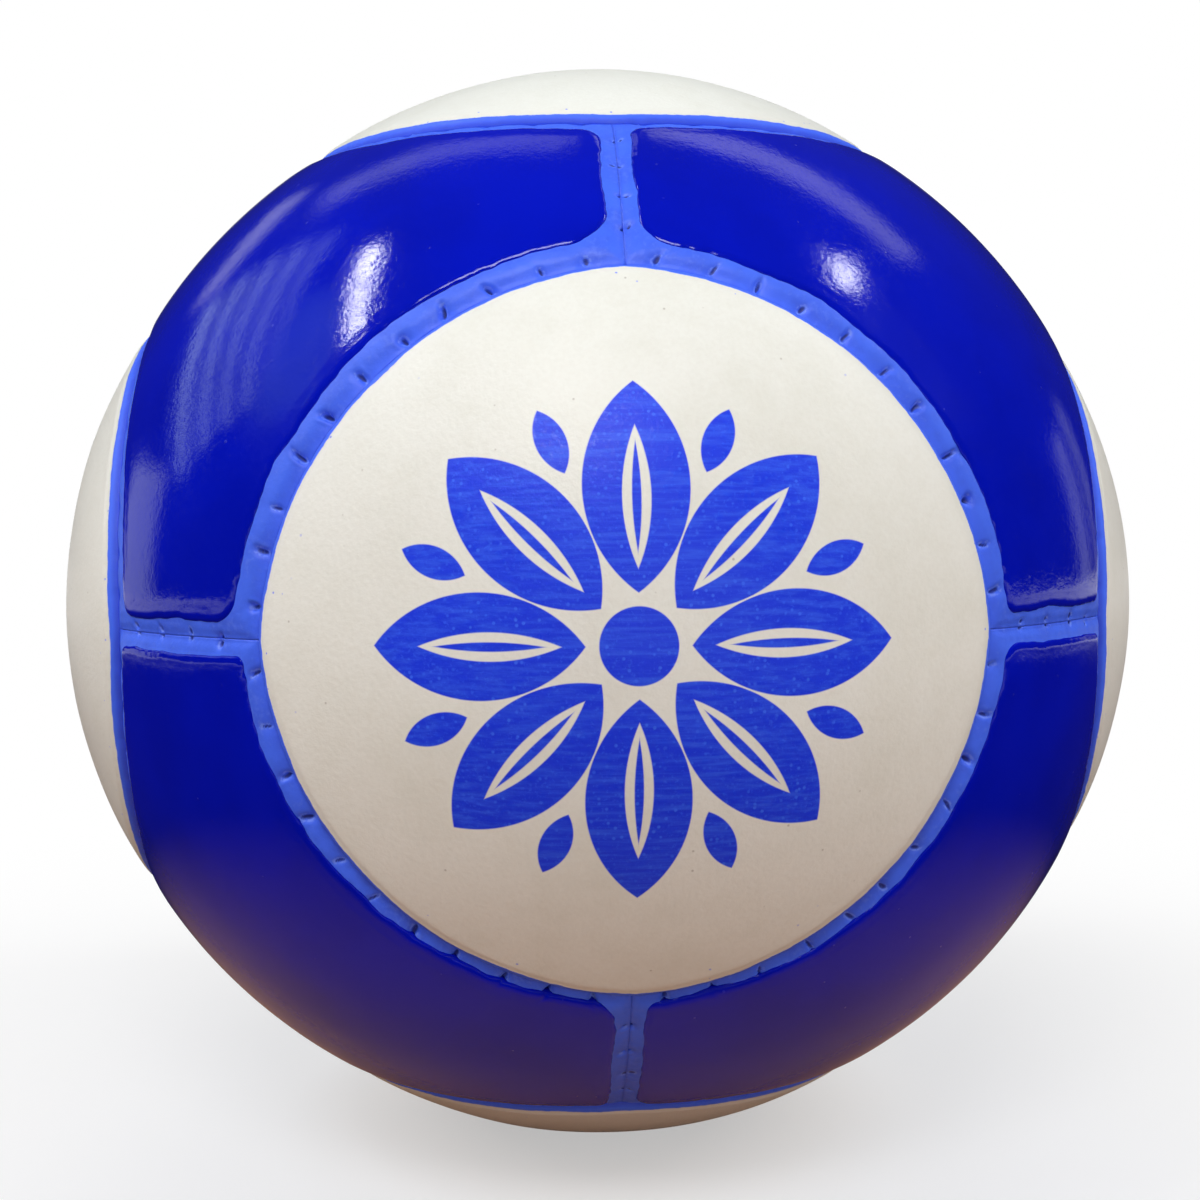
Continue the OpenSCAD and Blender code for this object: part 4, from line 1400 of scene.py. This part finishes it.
class HANDBALL_OT_studio(bpy.types.Operator):
    """Plain pale floor, soft lights, even room light and the camera"""

    bl_idname = "handball.studio"
    bl_label = "Studio"

    def execute(self, context):
        scene = context.scene
        sizes, colours, studio = scene.ball_sizes, scene.ball_colours, scene.ball_studio
        self.floor(sizes, colours)
        for name, (place, size, level, share, up, mirrored) in LAMPS.items():
            soft_light(name, place, size, getattr(studio, level) * share, up, mirrored)
        self.room(colours, studio)
        self.camera(studio)
        scene.view_settings.view_transform = "Standard"
        return {"FINISHED"}

    def floor(self, sizes, colours):
        """A wide disc, white to the camera and darker in the light that it throws back."""
        count = 96
        swing = np.linspace(0, 2 * math.pi, count, endpoint=False)
        side = np.stack((np.cos(swing), np.sin(swing), np.zeros(count)), 1)
        top, low = -sizes.ball_r, -sizes.ball_r - 10 * MM
        rings = [(side * r + (0, 0, top),) for r in (0.02, 0.1, 0.4, 1.5, 6.0)]
        rings += [(side * r + (0, 0, low),) for r in (6.0, 1.5, 0.02)]
        floor = ring_mesh("floor", rings)
        look = new_finish("floor_paint")
        x, y, _ = look.parts(look.place)
        away = (x * x + y * y) ** 0.5
        glossy = look.any_ray("Glossy")
        shown = look.any_ray("Camera", "Transmission")
        shown = shown.math("MAXIMUM", glossy * look.step(away, 600, 2000))
        pale = look.mix(look.noise(0.05, 3.0) * 0.06, colours.studio_white, DUSTY_TONE)
        near = look.mix(glossy, colours.floor_shade, colours.floor_gleam)
        colour = look.mix(glossy * look.step(away, 70, 180), near, DARK_FLOOR)
        colour = look.mix(shown, colour, pale)
        lit = look.node("ShaderNodeBsdfDiffuse", sockets={"Color": colour})
        glow = look.plain("ShaderNodeEmission", (*colours.studio_white, 1))
        share = shown * look.step(away, 60, 300, 0.45, 1.0)
        look.end(look.node("ShaderNodeMixShader", sockets={0: share, 1: lit, 2: glow}))
        floor.data.materials.append(look.owner)

    def room(self, colours, studio):
        """A world that lights evenly, is white to the camera and shows panels of light to
        the coats."""
        world = bpy.data.worlds.new("room")
        bpy.context.scene.world = world
        look = Finish(world)
        way = look.node("ShaderNodeTexCoord", out="Generated")
        _, behind, high = look.parts(way)
        glossy = look.any_ray("Glossy")
        shown = look.any_ray("Camera", "Transmission").math(
            "MAXIMUM", glossy * look.step(behind, 0.94, 0.995))
        tint = np.array((0.96, 0.97, 1.0)) * studio.room_level
        even = look.plain("ShaderNodeBackground", look.mix(high, tint, tint * 0.2))
        colour = look.mix(look.step(high, 0.2, 0.9), DARK_ROOM, DIM_CEILING)
        for centre, along, half_l, half_w, soft, level, tint, stripes in REFLECTED_PANELS:
            centre = unit(centre)
            long_way = unit(np.array(along) - centre * (centre @ along))
            far = look.dot(way, tuple(long_way)).math("ABSOLUTE")
            across = look.dot(way, tuple(np.cross(centre, long_way)))
            mask = look.step(far, half_l + soft, half_l)
            mask = mask * look.step(across.math("ABSOLUTE"), half_w + soft, half_w)
            mask = mask * look.step(look.dot(way, tuple(centre)), 0.0, 0.1)
            if stripes:
                wave = (across * (stripes * math.pi / half_w)).math("SINE")
                mask = mask * look.step(wave, -0.7, 0.8, 0.10, 1.0)
            colour = look.mix(mask, colour, [channel * level for channel in tint])
        panels = look.plain("ShaderNodeBackground", colour)
        white = look.plain("ShaderNodeBackground", (*colours.studio_white, 1))
        lit = look.node("ShaderNodeMixShader", sockets={0: glossy, 1: even, 2: panels})
        look.end(look.node("ShaderNodeMixShader", sockets={0: shown, 1: lit, 2: white}))

    def camera(self, studio):
        data = bpy.data.cameras.new("camera")
        data.sensor_width, data.sensor_height, data.sensor_fit = 36, 36, "HORIZONTAL"
        data.lens = studio.lens
        data.clip_start, data.clip_end = 0.01, 50
        data.shift_x, data.shift_y = CAMERA_SHIFT
        camera = bpy.data.objects.new("camera", data)
        back = unit(CAMERA_WAY)
        camera.matrix_world = facing(back * studio.camera_away, back, CAMERA_UP)
        bpy.context.scene.collection.objects.link(camera)
        bpy.context.scene.camera = camera


class HANDBALL_PT_sidebar(bpy.types.Panel):
    """Sizes, colours and steps of the handball"""

    bl_label = "Handball"
    bl_idname = "HANDBALL_PT_sidebar"
    bl_space_type = "VIEW_3D"
    bl_region_type = "UI"
    bl_category = "Handball"

    def draw(self, context):
        scene = context.scene
        for group in (scene.ball_sizes, scene.ball_colours, scene.ball_studio):
            column = self.layout.box().column()
            for key in type(group).__annotations__:
                column.prop(group, key)
        steps = self.layout.column()
        for operator in OPERATORS:
            steps.operator(operator.bl_idname)


OPERATORS = (
    HANDBALL_OT_studio,
    HANDBALL_OT_white_covers,
    HANDBALL_OT_blue_covers,
    HANDBALL_OT_gloss_coats,
    HANDBALL_OT_padding,
    HANDBALL_OT_lacing,
    HANDBALL_OT_bladder,
    HANDBALL_OT_valve,
)
CLASSES = (BallSizes, BallColours, StudioLayout, *OPERATORS, HANDBALL_PT_sidebar)


def register():
    for made in CLASSES:
        bpy.utils.register_class(made)
    bpy.types.Scene.ball_sizes = PointerProperty(type=BallSizes)
    bpy.types.Scene.ball_colours = PointerProperty(type=BallColours)
    bpy.types.Scene.ball_studio = PointerProperty(type=StudioLayout)


def unregister():
    del bpy.types.Scene.ball_studio
    del bpy.types.Scene.ball_colours
    del bpy.types.Scene.ball_sizes
    for made in reversed(CLASSES):
        bpy.utils.unregister_class(made)


def main():
    register()
    bpy.ops.handball.studio()
    bpy.ops.handball.white_covers()
    bpy.ops.handball.blue_covers()
    bpy.ops.handball.gloss_coats()
    bpy.ops.handball.padding()
    bpy.ops.handball.lacing()
    bpy.ops.handball.bladder()
    bpy.ops.handball.valve()


if __name__ == "__main__":
    main()
